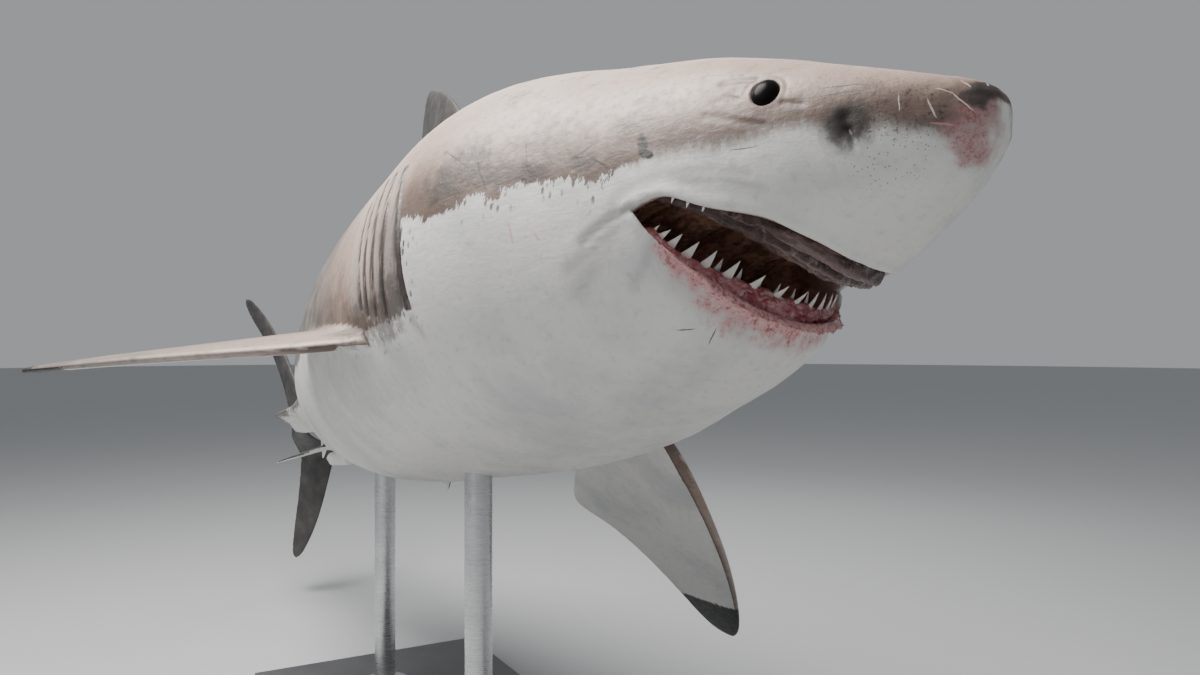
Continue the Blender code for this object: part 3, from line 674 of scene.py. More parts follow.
# out, back and half thickness over a fin, in fractions of the length
def finSurface(form, row, turn):
    edges = finEdges(form)
    at = np.clip((row - 0.05) / 0.95, 0, 1)
    front = np.stack((edges[0](at), edges[1](at)), axis=1)
    rear = np.stack((edges[2](at), edges[3](at)), axis=1)
    chord = np.linalg.norm(rear - front, axis=1)
    half = 0.5 * form["thick"] * (1 - 0.80 * at) * np.minimum(1.0, chord / 0.02 + 0.15)
    closing = roundedEnd(at, 0.93, 0.07) * smoothStep(row / 0.05)
    around = np.radians(turn)
    across = 0.5 - 0.5 * np.cos(around) * closing
    belly = 2.6 * (np.sqrt(np.clip(across, 0, 1)) - across) + 0.06 * np.abs(np.sin(around)) ** 0.5
    torn = np.array([noise.noise(Vector((value * 60, 4.0, chord.mean() * 90))) for value in at])
    torn += 0.6 * np.array([noise.noise(Vector((value * 150, 9.0, 2.0))) for value in at])
    flat = front + (rear - front) * across[:, None]
    flat[:, 1] += form["ragged"] * torn * smoothStep((across - 0.75) / 0.25) * smoothStep(at / 0.2)
    return flat[:, 0], flat[:, 1], np.sign(around) * half * belly * np.minimum(1, closing * 1.6)


def makeFin(name, kind, place, segments, rings):
    form = finForms[kind]
    fin = roundedPiece(name, segments, rings, lambda row, turn: place(*finSurface(form, row, turn)))
    mark(fin, "part" + name)
    return fin


def midlinePlace(upward, curl=0.0):
    def place(up, back, side):
        swing = curl * (caudalCurl["rear"] - back) * smoothStep((up - 0.010) / 0.030)
        return np.column_stack((side + swing, back, up * upward)) * sharkLength
    return place


def pairedPlace(name):
    matrix, hand = pairedFrame(name)

    def place(out, rearward, lift):
        local = np.column_stack((out * hand, rearward, lift)) * sharkLength
        return local @ matrix[:3, :3].T + matrix[:3, 3]
    return place


clasperForm = {"root": (0.021, 0.588, -0.066), "long": 0.075, "rise": 0.004, "radius": 0.0085, "groove": 0.16}


def makeClasper(hand):
    side, start, up = clasperForm["root"]

    def shape(row, turn):
        at = np.clip((row - 0.05) / 0.95, 0, 1)
        size = clasperForm["radius"] * (1 - 0.35 * at)
        size = size * roundedEnd(at, 0.86, 0.14)
        groove = clasperForm["groove"] * bump(np.abs(turn + 90 - 60 * hand), 0, 26) * (at > 0.2)
        size = size * smoothStep(row / 0.05) * (1 - groove)
        around = np.radians(turn)
        return np.column_stack((side * hand + size * np.cos(around), start + clasperForm["long"] * at,
                                up + clasperForm["rise"] * at + size * np.sin(around))) * sharkLength
    clasper = roundedPiece("clasper", 24, 32, shape)
    mark(clasper, "partClasper")
    return clasper


def joinPieces(pieces):
    onlySelect(pieces[0])
    for piece in pieces:
        piece.select_set(True)
    bpy.ops.object.join()
    return pieces[0]


def makeFins():
    first = [
        makeFin("Dorsal", "dorsal", midlinePlace(1), 44, 64),
        makeFin("SecondDorsal", "secondDorsal", midlinePlace(1), 24, 20),
        makeFin("Anal", "anal", midlinePlace(-1), 24, 20),
        makeFin("CaudalUpper", "caudalUpper", midlinePlace(1), 36, 56),
        makeFin("PectoralRight", "pectoral", pairedPlace("pectoralRight"), 48, 60),
        makeFin("PectoralLeft", "pectoral", pairedPlace("pectoralLeft"), 48, 60),
        makeFin("PelvicRight", "pelvic", pairedPlace("pelvicRight"), 28, 28),
        makeFin("PelvicLeft", "pelvic", pairedPlace("pelvicLeft"), 28, 28),
    ]
    second = [makeFin("CaudalLower", "caudalLower", midlinePlace(-1, caudalCurl["amount"]), 36, 56),
              makeClasper(-1), makeClasper(1)]
    return joinPieces(first), joinPieces(second)


def faceParts(piece):
    names = [slot.name for slot in piece.data.materials]
    index = np.empty(len(piece.data.polygons), int)
    piece.data.polygons.foreach_get("material_index", index)
    return names, index


# for each point, the part that it belongs to, and whether it lies between two
def vertexParts(piece):
    names, index = faceParts(piece)
    count = len(piece.data.vertices)
    sizes = np.empty(len(piece.data.polygons), int)
    piece.data.polygons.foreach_get("loop_total", sizes)
    corners = np.empty(len(piece.data.loops), int)
    piece.data.loops.foreach_get("vertex_index", corners)
    ofCorner = np.repeat(index, sizes)
    lowest, highest = np.full(count, 99), np.full(count, -1)
    np.minimum.at(lowest, corners, ofCorner)
    np.maximum.at(highest, corners, ofCorner)
    return np.array(names, object)[highest], lowest != highest


def distanceToPoints(points, targets, reach):
    tree = kdtree.KDTree(len(targets))
    for i, point in enumerate(targets):
        tree.insert(point, i)
    tree.balance()
    low, high = targets.min(0) - reach, targets.max(0) + reach
    near = np.all((points > low) & (points < high), axis=1)
    found = np.full(len(points), reach)
    for i in np.nonzero(near)[0]:
        found[i] = min(reach, tree.find(points[i])[2])
    return found


def smoothNear(piece, weights, name, passes):
    group = piece.vertex_groups.new(name=name)
    for i in np.nonzero(weights > 0.01)[0]:
        group.add([int(i)], float(weights[i]), "REPLACE")
    applyModifier(piece, "SMOOTH", factor=0.5, iterations=passes, vertex_group=name)


# strongest on the lower lip, gone a hand's breadth below it and towards the mouth's corner
def flushField(points, inside):
    back, angle = hullPlace(points)
    lip = np.where(inside > 0, inside * 0.9, np.abs(besideGape(points[:, 1], points[:, 2])))
    onJaw = smoothStep(jawSide(back, points[:, 2] / sharkLength) / 0.002 + 2.6)
    reach = 0.020 + 0.040 * smoothStep((np.abs(angle) - 118) / 45)
    return np.clip(1 - lip / reach, 0, 1) * onJaw * smoothStep((np.abs(angle) - 112) / 16) * (back < 0.115)


def makeSkin():
    body = makeBody()
    print("body shaped:", len(body.data.vertices), "points")
    hollow = mouthHollow()
    fins, rearFins = makeFins()
    for operation, cutter in (("DIFFERENCE", hollow), ("UNION", fins), ("UNION", rearFins)):
        applyModifier(body, "BOOLEAN", operation=operation, object=cutter, solver="EXACT",
                      material_mode="TRANSFER")
    for cutter in (hollow, fins, rearFins):
        bpy.data.objects.remove(cutter, do_unlink=True)
    editMesh(body, (bpy.ops.mesh.select_all, {"action": "SELECT"}),
             (bpy.ops.mesh.remove_doubles, {"threshold": skin["weld"]}),
             (bpy.ops.mesh.dissolve_degenerate, {"threshold": skin["sliver"]}))
    print("mouth cut and fins joined:", len(body.data.vertices), "points")
    points = readPoints(body)
    part, between = vertexParts(body)
    inMouth = part == "partMouth"
    lipPoints = points[between & inMouth & (points[:, 1] < 0.13 * sharkLength)]
    rootPoints = points[between & ~inMouth]
    lipDistance = distanceToPoints(points, lipPoints, mouth["roundOver"])
    rootDistance = distanceToPoints(points, rootPoints, skin["rootBlend"])
    smoothNear(body, 1 - lipDistance / mouth["roundOver"], "lips", skin["lipPasses"])
    smoothNear(body, smoothStep(1 - rootDistance / skin["rootBlend"]), "roots", skin["rootPasses"])
    points = readPoints(body)
    sore = flushField(points, np.where(inMouth, lipDistance, 0.0))
    sore = sore * smoothStep(1 - lipDistance / mouth["roundOver"]) * lumpy(points, *skin["soreLumps"])
    writePoints(body, points + readPoints(body, "normal") * sore[:, None])
    return body


skinPiece = makeSkin()


marking = {
    # the right side's border between back and belly: station, angle; the left follows with its own jags
    "border": ((0.000, 121), (0.0035, 121), (0.010, 126), (0.0185, 111.5), (0.0275, 102), (0.036, 106),
               (0.0395, 101), (0.049, 98), (0.061, 98.5), (0.080, 96.5), (0.099, 94), (0.119, 95),
               (0.135, 91), (0.152, 89), (0.164, 90.5), (0.187, 89.5), (0.210, 88), (0.240, 100),
               (0.300, 106), (0.400, 99), (0.550, 99), (0.620, 94), (0.700, 100), (0.800, 96), (0.890, 96)),
    "shoulderEnd": 0.350,                # the station where the back's colour stops reaching lower
    # how far round from the top the back's colour reaches over the gills: stations, angles
    "gillEnd": ((0.280, 0.310, 0.335), (113, 111, 96)),
    "pectoralTip": (0.150, 0.020),       # where the black tip starts, and how much further in at the rear
    "leadingStrip": 0.050,               # share of the chord that is dark underneath
    "darkFin": 0.25, "paleFin": -0.10,   # m inside or outside the border, for fins of one colour
    "liningReach": 0.12,                 # how deep into the mouth its shading changes, m
}


skinMarks = {
    # (station, angle), radii in m; a field is 1 in the middle of a mark and 0 at its edge
    "nostril": (((0.0354, -99.5), (0.050, 0.048, 0.048)), ((0.0354, 99.5), (0.050, 0.048, 0.048))),
    "tipDark": (((0.0030, -60.0), (0.042, 0.028, 0.026)), ((0.0020, 30.0), (0.034, 0.020, 0.020)),
                ((0.0045, -88.0), (0.028, 0.026, 0.024))),
    "tipPink": (((0.0040, -122.0), (0.050, 0.036, 0.044)), ((0.0080, -137.0), (0.046, 0.042, 0.040)),
                ((0.0085, -166.0), (0.046, 0.034, 0.034))),
    "tipRaw": (((0.0075, -134.0), (0.040, 0.040, 0.034)), ((0.0050, -108.0), (0.030, 0.030, 0.028)),
               ((0.0090, -162.0), (0.030, 0.030, 0.026))),
    "band": (((0.0300, -91.0), (0.060, 0.070, 0.048)), ((0.0200, -94.0), (0.056, 0.076, 0.046)),
             ((0.0110, -98.0), (0.046, 0.056, 0.040)), ((0.0300, 91.0), (0.060, 0.070, 0.048)),
             ((0.0200, 94.0), (0.056, 0.076, 0.046)), ((0.0110, 98.0), (0.046, 0.056, 0.040))),
    "smudge": (((0.1474, -88.2), (0.024, 0.020, 0.013)), ((0.1090, -79.5), (0.016, 0.018, 0.013)),
               ((0.1939, -72.8), (0.016, 0.016, 0.013)), ((0.1875, -82.5), (0.060, 0.070, 0.060)),
               ((0.1760, -79.5), (0.060, 0.080, 0.060)), ((0.1620, -84.0), (0.050, 0.060, 0.036)),
               ((0.1486, -86.0), (0.040, 0.040, 0.028)), ((0.1245, -88.0), (0.030, 0.040, 0.022)),
               ((0.1780, 82.0), (0.060, 0.090, 0.060)), ((0.1540, 86.0), (0.050, 0.060, 0.034)),
               ((0.2380, -111.0), (0.090, 0.130, 0.070)), ((0.2500, 114.0), (0.090, 0.130, 0.070)),
               ((0.2230, -108.0), (0.060, 0.050, 0.080)), ((0.2340, 110.0), (0.060, 0.050, 0.080)),
               ((0.2720, -108.0), (0.080, 0.130, 0.070)), ((0.2720, 108.0), (0.080, 0.130, 0.070))),
    "pores": tuple(((0.026, angle), (0.080, 0.080, 0.080)) for angle in (-118, 118, -75, 75)),
}

# three fields to an attribute; "flush" is the soreness under the lower lip, "creases" the shade in folds
markFields = {"headMarks": ("nostril", "band", "flush"), "tipMarks": ("tipPink", "tipRaw", "tipDark"),
              "smallMarks": ("smudge", "pores", "creases")}


# shade that lies in and beside the folds round the eyes and the mouth's corners
def creaseField(points):
    field = np.zeros(len(points))
    for path, depth, width, sides in creases:
        for hand in sides:
            line = [hullPoint(station, turn * hand) for station, turn in path]
            reach = distanceToPath(points, line)
            field = np.maximum(field, min(1.0, depth / 0.0026) * np.exp(-(reach / (width * 1.4)) ** 2))
    for hand in (-1, 1):
        ring, upper = eyeRing(points, hand)
        shade = (0.55 + 0.45 * upper) * bump(ring, 1.02, 0.16) + 0.30 * bump(ring, 1.5, 0.25) * upper
        field = np.maximum(field, shade)
    return field


def markField(points, name, inside):
    if name == "flush":
        return flushField(points, inside)
    if name == "creases":
        return creaseField(points)
    field = np.zeros(len(points))
    for (back, angle), radii in skinMarks[name]:
        reach = np.linalg.norm((points - hullPoint(back, angle)) / np.array(radii), axis=1)
        field = np.maximum(field, np.clip(1 - reach, 0, 1))
    return field


def finLocal(points, name):
    matrix, hand = pairedFrame(name)
    local = np.linalg.inv(matrix) @ np.column_stack((points, np.ones(len(points)))).T
    return local[0] * hand / sharkLength, local[1] / sharkLength, local[2] / sharkLength


def chordShare(form, out, back):
    edges = finEdges(form)
    at = np.linspace(0, 1, 400)
    reach = np.argsort(edges[0](at))
    front = np.interp(out, edges[0](at)[reach], edges[1](at)[reach])
    rear = np.interp(out, edges[2](at)[reach], edges[3](at)[reach])
    return np.clip((back - front) / np.maximum(rear - front, 0.002), 0, 1)


# signed distance to the colour border (+ dark) and to the black of the tip, on a paired fin
def pairedMarking(points, name, form):
    out, back, lift = finLocal(points, name)
    share = chordShare(form, out, back)
    limit = form["thick"] * 0.5
    dark = np.clip(lift / limit, -1, 1) * 0.40 + np.where(lift > 0, 0.004, -0.040)
    strip = (marking["leadingStrip"] - share) * 8.0
    dark = np.maximum(dark, np.where(share < 0.1, strip, -1))
    dark = np.where(lift > 0, dark, np.minimum(dark, (out - 0.014) * 4.0))
    tipStart, tipSlant = marking["pectoralTip"]
    black = (out - tipStart + tipSlant * share - 0.020 * (lift > 0)) * sharkLength
    return dark, black


def markSkin(piece):
    points = readPoints(piece)
    part, between = vertexParts(piece)
    back, angle = hullPlace(points)
    size = np.abs(angle)
    line = np.array(marking["border"])
    radius = np.linalg.norm(points[:, [0, 2]], axis=1)
    border = np.radians(np.interp(back, line[:, 0], line[:, 1]) - size) * np.maximum(radius, 0.02)
    behind = back - slitLine(gillForm["slits"][0], size)
    shoulder = np.minimum(behind, marking["shoulderEnd"] - back) * sharkLength
    lower = np.interp(back, *marking["gillEnd"])
    shoulder = np.minimum(shoulder, np.radians(lower - size) * np.maximum(radius, 0.02))
    border = np.maximum(border, shoulder * 0.8)
    black = np.full(len(points), -1.0)
    for name in ("Dorsal", "SecondDorsal", "CaudalUpper", "CaudalLower"):
        on = part == "part" + name
        border[on] = np.maximum(border[on], marking["darkFin"])
    border[part == "partAnal"] = marking["paleFin"]
    for name in ("PectoralRight", "PectoralLeft"):
        on = part == "part" + name
        dark, tip = pairedMarking(points[on], name[0].lower() + name[1:], finForms["pectoral"])
        border[on], black[on] = dark, tip
    for name in ("PelvicRight", "PelvicLeft"):
        on = part == "part" + name
        border[on] = pairedMarking(points[on], name[0].lower() + name[1:], finForms["pelvic"])[0]
    border[part == "partClasper"] = marking["paleFin"]
    lining = part == "partMouth"
    rim = points[between & lining]
    depth = np.where(lining, distanceToPoints(points, rim, marking["liningReach"]), 0.0)
    behind, strength = gillPhase(back, angle)
    # painted shade in each gill slit and on the sunken skin just behind it
    streak = smoothStep(strength * 2.5) * np.where(behind > 0, np.exp(-np.clip(behind, 0, None) / 0.020),
                                                   bump(behind, 0, 0.002))
    storeAttribute(piece, "straight", points, "FLOAT_VECTOR")
    storeAttribute(piece, "border", border)
    storeAttribute(piece, "black", black)
    storeAttribute(piece, "inMouth", depth)
    storeAttribute(piece, "gill", np.where(part == "partBody", streak, 0))
    for name, fields in markFields.items():
        values = [markField(points, field, depth) for field in fields]
        storeAttribute(piece, name, np.stack(values, axis=1), "FLOAT_VECTOR")
    shares = {"partBody": 0.0, "partMouth": 0.0, "partPectoralRight": 0.25, "partPectoralLeft": 0.25}
    storeAttribute(piece, "onFin", [shares.get(name, 1.0) for name in part])


def feed(tree, socket, value):
    if isinstance(value, bpy.types.NodeSocket):
        tree.links.new(value, socket)
    elif isinstance(value, (tuple, list)) and len(value) == 3 and socket.type == "RGBA":
        socket.default_value = (*value, 1.0)
    else:
        socket.default_value = value


def mathStep(tree, operation, first, second=0.0, clamp=False):
    node = tree.nodes.new("ShaderNodeMath")
    node.operation = operation
    node.use_clamp = clamp
    feed(tree, node.inputs[0], first)
    feed(tree, node.inputs[1], second)
    return node.outputs[0]


def times(tree, first, second):
    return mathStep(tree, "MULTIPLY", first, second)


def plus(tree, first, second):
    return mathStep(tree, "ADD", first, second)


# a pattern about zero, this much up and down
def swing(tree, value, amount):
    return times(tree, mathStep(tree, "SUBTRACT", value, 0.5), amount)


def vectorStep(tree, operation, first, second=(0.0, 0.0, 0.0), scale=None):
    node = tree.nodes.new("ShaderNodeVectorMath")
    node.operation = operation
    feed(tree, node.inputs[0], first)
    feed(tree, node.inputs[1], second)
    if scale is not None:
        feed(tree, node.inputs["Scale"], scale)
    return node.outputs["Value" if operation in ("LENGTH", "DOT_PRODUCT") else "Vector"]


def mixColours(tree, amount, first, second, blend="MIX"):
    node = tree.nodes.new("ShaderNodeMix")
    node.data_type = "RGBA"
    node.blend_type = blend
    feed(tree, node.inputs[0], amount)
    feed(tree, node.inputs[6], first)
    feed(tree, node.inputs[7], second)
    return node.outputs[2]


def noiseAt(tree, where, scale, detail=4.0, rough=0.55, distortion=0.0):
    node = tree.nodes.new("ShaderNodeTexNoise")
    feed(tree, node.inputs["Vector"], where)
    node.inputs["Scale"].default_value = scale
    node.inputs["Detail"].default_value = detail
    node.inputs["Roughness"].default_value = rough
    node.inputs["Distortion"].default_value = distortion
    return node.outputs["Fac"]


# a noise vector about zero, to wander a pattern's places
def noiseColour(tree, where, scale):
    node = tree.nodes.new("ShaderNodeTexNoise")
    feed(tree, node.inputs["Vector"], where)
    node.inputs["Scale"].default_value = scale
    node.inputs["Detail"].default_value = 3.0
    return vectorStep(tree, "SUBTRACT", node.outputs["Color"], (0.5, 0.5, 0.5))


# 1 in small dots scattered over the surface, 0 between
def dotsAt(tree, where, scale, reach):
    node = tree.nodes.new("ShaderNodeTexVoronoi")
    feed(tree, node.inputs["Vector"], where)
    node.inputs["Scale"].default_value = scale
    return fade(tree, node.outputs["Distance"], reach, reach * 0.55)


def fade(tree, value, low, high, outLow=0.0, outHigh=1.0):
    node = tree.nodes.new("ShaderNodeMapRange")
    node.interpolation_type = "SMOOTHSTEP"
    for socket, given in zip(node.inputs[:5], (value, low, high, outLow, outHigh)):
        feed(tree, socket, given)
    return node.outputs[0]


# a colour laid over another where a value rises from low to high
def painted(tree, under, value, low, high, over, strength=1.0):
    return mixColours(tree, fade(tree, value, low, high, 0.0, strength), under, over)


def stretched(tree, where, scale):
    node = tree.nodes.new("ShaderNodeMapping")
    feed(tree, node.inputs["Vector"], where)
    node.inputs["Scale"].default_value = scale
    return node.outputs["Vector"]


def readAttribute(tree, name, output="Fac"):
    node = tree.nodes.new("ShaderNodeAttribute")
    node.attribute_name = name
    return node.outputs[output]


def stroke(tree, where, start, end, width):
    # 1 inside a thin ellipsoid that lies along the scratch, so that it tapers to both ends
    start, end = Vector(start), Vector(end)
    along = end - start
    across = Vector((start.x + end.x, 0, start.z + end.z)).cross(along).normalized()
    axes = Matrix((along.normalized(), across, along.cross(across).normalized())).transposed()
    node = tree.nodes.new("ShaderNodeMapping")
    node.vector_type = "TEXTURE"
    feed(tree, node.inputs["Vector"], where)
    node.inputs["Location"].default_value = (start + end) / 2
    node.inputs["Rotation"].default_value = axes.to_euler()
    node.inputs["Scale"].default_value = (along.length * 0.56, width, 0.03)
    return fade(tree, vectorStep(tree, "LENGTH", node.outputs["Vector"]), 1.0, 0.58)


def splitVector(tree, vector):
    node = tree.nodes.new("ShaderNodeSeparateXYZ")
    feed(tree, node.inputs[0], vector)
    return node.outputs[0], node.outputs[1], node.outputs[2]


def newMaterial(name, **uniform):
    made = bpy.data.materials.new(name)
    made.use_nodes = True
    tree = made.node_tree
    shader = tree.nodes["Principled BSDF"]
    for socket, value in uniform.items():
        feed(tree, shader.inputs[socket.replace("_", " ")], value)
    return made, tree, shader


# chain bumps of (height, strength, distance) and feed the last to the shader
def bumpFrom(tree, shader, layers):
    normal = None
    for height, strength, distance in layers:
        node = tree.nodes.new("ShaderNodeBump")
        node.inputs["Strength"].default_value = strength
        node.inputs["Distance"].default_value = distance
        feed(tree, node.inputs["Height"], height)
        if normal is not None:
            tree.links.new(normal, node.inputs["Normal"])
        normal = node.outputs["Normal"]
    tree.links.new(normal, shader.inputs["Normal"])


skinColours = {
    # the palest back colour is painted light on the top of the back, lit from above
    "paintedTopLight": (0.690, 0.565, 0.500), "paleBack": (0.500, 0.368, 0.308), "midBack": (0.262, 0.182, 0.150),
    "darkBack": (0.122, 0.082, 0.067), "rearBack": (0.110, 0.100, 0.094),
    "rearPale": (0.215, 0.190, 0.172), "belly": (0.770, 0.755, 0.720), "bellyShade": (0.590, 0.600, 0.590),
    "grime": (0.440, 0.420, 0.390), "fin": (0.036, 0.034, 0.034), "finPale": (0.075, 0.070, 0.067),
    "black": (0.016, 0.015, 0.016), "mark": (0.045, 0.036, 0.032), "nostril": (0.022, 0.016, 0.013),
    "pink": (0.680, 0.310, 0.310), "raw": (0.300, 0.075, 0.080), "worn": (0.400, 0.235, 0.230),
    # lining and throat are lightened: painted light deep in the mouth
    "scratch": (0.680, 0.580, 0.530), "lining": (0.700, 0.410, 0.290), "liningDark": (0.260, 0.130, 0.092),
    "liningPale": (0.330, 0.225, 0.195), "throat": (0.680, 0.400, 0.290),
}


def onHull(back, angle):
    return tuple(float(value) for value in hullPoint(back, angle))


scratches = {  # start and end as (station, angle), width in m
    "pale": (((0.0135, -74.0), (0.0085, -81.8), 0.0010), ((0.0095, -80.0), (0.0050, -115.0), 0.0013),
             ((0.0222, -80.5), (0.0220, -97.0), 0.0009), ((0.0150, -87.0), (0.0132, -108.5), 0.0010),
             ((0.0090, -48.8), (0.0060, -62.2), 0.0015), ((0.0040, -30.0), (0.0030, -44.0), 0.0014),
             ((0.0344, -114.5), (0.0350, -123.5), 0.0010), ((0.1500, 70.0), (0.1320, 84.0), 0.0012),
             ((0.0300, 76.0), (0.0190, 88.0), 0.0012)),
    "dark": (((0.1794, -71.2), (0.1659, -89.0), 0.0022), ((0.1947, -71.8), (0.1706, -83.2), 0.0022),
             ((0.1354, -86.5), (0.1195, -82.0), 0.0020), ((0.1255, -84.0), (0.1137, -92.8), 0.0020),
             ((0.1324, -85.0), (0.1234, -86.4), 0.0018), ((0.1540, -74.0), (0.1500, -86.0), 0.0016),
             ((0.1089, -151.2), (0.1029, -155.2), 0.0014),
             ((0.1059, -163.5), (0.0989, -160.0), 0.0014), ((0.0700, -99.0), (0.0610, -101.0), 0.0010),
             ((0.0460, -73.0), (0.0300, -70.0), 0.0013), ((0.0420, -79.0), (0.0340, -77.5), 0.0010),
             ((0.2116, -89.8), (0.2119, -94.5), 0.0060), ((0.2298, -111.5), (0.2300, -115.0), 0.0050),
             ((0.2600, 74.0), (0.2380, 86.0), 0.0016), ((0.4100, -74.0), (0.3850, -86.0), 0.0022),
             ((0.4900, 72.0), (0.4620, 88.0), 0.0022)),
    "red": (((0.1564, -97.5), (0.1544, -105.0), 0.0024), ((0.1459, -102.8), (0.1439, -106.2), 0.0022),
            ((0.0150, -109.0), (0.0095, -122.0), 0.0016)),
    "notch": (((0.1030, -83.5), (0.1000, -93.5), 0.0105), ((0.1010, -90.5), (0.0972, -93.6), 0.0075),
              ((0.1040, 88.0), (0.1030, 92.0), 0.0030)),
}


def strokesOf(tree, where, name):
    total = 0.0
    for start, end, width in scratches[name]:
        total = mathStep(tree, "MAXIMUM", total, stroke(tree, where, onHull(*start), onHull(*end), width))
    return total


# the fields and patterns that several layers of the skin share
def skinPatterns(tree):
    place = readAttribute(tree, "straight", "Vector")
    warp = vectorStep(tree, "SCALE", noiseColour(tree, place, 26.0), scale=0.010)
    rough = vectorStep(tree, "ADD", place, warp)
    seen = {name: readAttribute(tree, name) for name in ("border", "black", "inMouth", "gill", "onFin")}
    for name, fields in markFields.items():
        seen.update(zip(fields, splitVector(tree, readAttribute(tree, name, "Vector"))))
    seen.update(
        place=place, rough=rough, along=splitVector(tree, place)[1],
        teeth=noiseAt(tree, stretched(tree, place, (75, 120, 42)), 1.0, 6.0, 0.78),
        fine=noiseAt(tree, place, 70.0, 5.0, 0.65),
        mottle=noiseAt(tree, rough, 13.0, 5.0, 0.62),
        grit=mathStep(tree, "SUBTRACT", noiseAt(tree, place, 48.0, 5.0, 0.65), 0.5),
        fleck=noiseAt(tree, place, 170.0, 4.0, 0.7),
        folds=noiseAt(tree, stretched(tree, place, (60, 22, 40)), 1.0, 5.0, 0.6, 0.8))
    return seen


# a field plus noise, so that a mark has a torn edge
def torn(tree, seen, name, low, high, ragged, strength=1.0):
    shifted = plus(tree, seen[name], times(tree, seen["grit"], ragged))
    return times(tree, fade(tree, shifted, low, high, 0.0, strength), fade(tree, seen[name], 0.0, 0.05))


# fine upright teeth on a slow wave behind the head, a soft edge on the head; + is the back's side
def backEdge(tree, seen, soft):
    wave = noiseAt(tree, seen["place"], 11.0, 3.0, 0.5)
    jag = plus(tree, swing(tree, seen["teeth"], 0.075), swing(tree, wave, 0.070))
    return plus(tree, seen["border"], times(tree, jag, fade(tree, soft, 0.0, 1.0, 1.0, 0.35)))


def bellyColour(tree, seen):
    slow = noiseAt(tree, seen["place"], 5.0, 4.0, 0.6)
    belly = painted(tree, skinColours["belly"], slow, 0.42, 0.70, skinColours["bellyShade"])
    return painted(tree, belly, seen["fine"], 0.50, 0.80, skinColours["grime"], 0.45)


# dark beside the border, paler upwards on head and shoulders and palest on top with painted light from above,
# greyer behind, nearly black on the fins
def backColour(tree, seen):
    blotch = noiseAt(tree, seen["rough"], 24.0, 6.0, 0.72)
    height = plus(tree, seen["border"], swing(tree, seen["mottle"], 0.16))
    back = painted(tree, skinColours["darkBack"], height, -0.010, 0.085, skinColours["midBack"])
    back = painted(tree, back, height, 0.045, 0.150, skinColours["paleBack"])
    # palest on the top of the back: painted light from above
    back = painted(tree, back, height, 0.170, 0.340, skinColours["paintedTopLight"])
    back = painted(tree, back, blotch, 0.54, 0.70, skinColours["darkBack"], 0.55)
    rear = painted(tree, skinColours["rearBack"], seen["mottle"], 0.35, 0.70, skinColours["rearPale"])
    back = painted(tree, back, seen["along"], 1.05, 1.75, rear)
    back = painted(tree, back, seen["fine"], 0.50, 0.78, skinColours["darkBack"], 0.45)
    fin = painted(tree, skinColours["fin"], seen["mottle"], 0.35, 0.75, skinColours["finPale"])
    return mixColours(tree, seen["onFin"], back, fin)


# freckles just below the border, none on the head
def freckled(tree, seen, colour, edge, soft):
    freckles = dotsAt(tree, stretched(tree, seen["place"], (1.0, 1.0, 0.45)), 74.0, 0.30)
    for near in (fade(tree, edge, -0.040, -0.004), fade(tree, soft, 0.5, 0.0),
                 fade(tree, edge, 0.004, 0.0, 0.0, 0.9)):
        freckles = times(tree, freckles, near)
    return mixColours(tree, freckles, colour, skinColours["mark"])


# a dark streak in each slit, painted shade in the slit and on the sunken skin behind it, and a pale band
# beside it
def gillSlitsShaded(tree, seen, colour):
    gill = seen["gill"]
    ragged = noiseAt(tree, stretched(tree, seen["place"], (34, 110, 13)), 1.0, 5.0, 0.7)
    streak = times(tree, gill, fade(tree, ragged, 0.30, 0.55))
    beside = fade(tree, gill, 0.75, 0.20, 0.0, fade(tree, gill, 0.0, 0.03, 0.0, 0.26))
    colour = mixColours(tree, beside, colour, skinColours["bellyShade"])
    return painted(tree, colour, streak, 0.10, 0.50, skinColours["mark"], 0.94)


# snout band, nostrils, painted shade in the folds and round the eyes, pores and the worn tip
def headMarked(tree, seen, colour):
    specks = fade(tree, seen["fleck"], 0.53, 0.66)
    flakes = fade(tree, seen["fleck"], 0.46, 0.64)
    pores = dotsAt(tree, seen["place"], 185.0, 0.25)
    layers = (
        (torn(tree, seen, "band", 0.05, 0.75, 0.7, 0.75), "darkBack"),
        (times(tree, torn(tree, seen, "band", 0.0, 0.40, 0.9, 0.8), specks), "mark"),
        (torn(tree, seen, "nostril", 0.05, 0.60, 0.7, 0.75), "mark"),
        (torn(tree, seen, "nostril", 0.32, 0.78, 0.6, 0.92), "nostril"),
        # painted shade in and beside the folds and round the eyes
        (times(tree, seen["creases"], 0.50), "mark"),
        (times(tree, pores, fade(tree, seen["pores"], 0.05, 0.5, 0.0, 0.65)), "mark"),
        (torn(tree, seen, "tipPink", 0.02, 0.75, 1.3, 0.85), "worn"),
        (times(tree, torn(tree, seen, "tipRaw", 0.05, 0.60, 1.2, 0.7), flakes), "raw"),
        (torn(tree, seen, "tipDark", 0.05, 0.60, 1.3, 0.96), "mark"),
        (torn(tree, seen, "smudge", 0.05, 0.70, 2.0, 0.66), "mark"),
    )
    for amount, over in layers:
        colour = mixColours(tree, amount, colour, skinColours[over])
    return colour


def scratched(tree, seen, colour):
    for name, shade, strength in (("dark", "mark", 0.85), ("red", "pink", 0.6), ("pale", "scratch", 0.75),
                                  ("notch", "nostril", 1.0)):
        lines = times(tree, strokesOf(tree, seen["rough"], name), strength)
        colour = mixColours(tree, lines, colour, skinColours[shade])
    return colour


# pale just inside the lips, then the lining, browner in the throat; lining and throat lightened deeper in,
# painted light where little light reaches
def linedAndLit(tree, seen, colour):
    folds, inMouth = seen["folds"], seen["inMouth"]
    lining = painted(tree, skinColours["liningDark"], folds, 0.35, 0.68, skinColours["lining"])
    throat = painted(tree, skinColours["liningDark"], folds, 0.40, 0.65, skinColours["throat"])
    lining = painted(tree, skinColours["liningPale"], inMouth, 0.012, 0.075, lining)
    lining = painted(tree, lining, inMouth, 0.030, 0.100, throat)
    return painted(tree, colour, inMouth, 0.002, 0.010, lining)


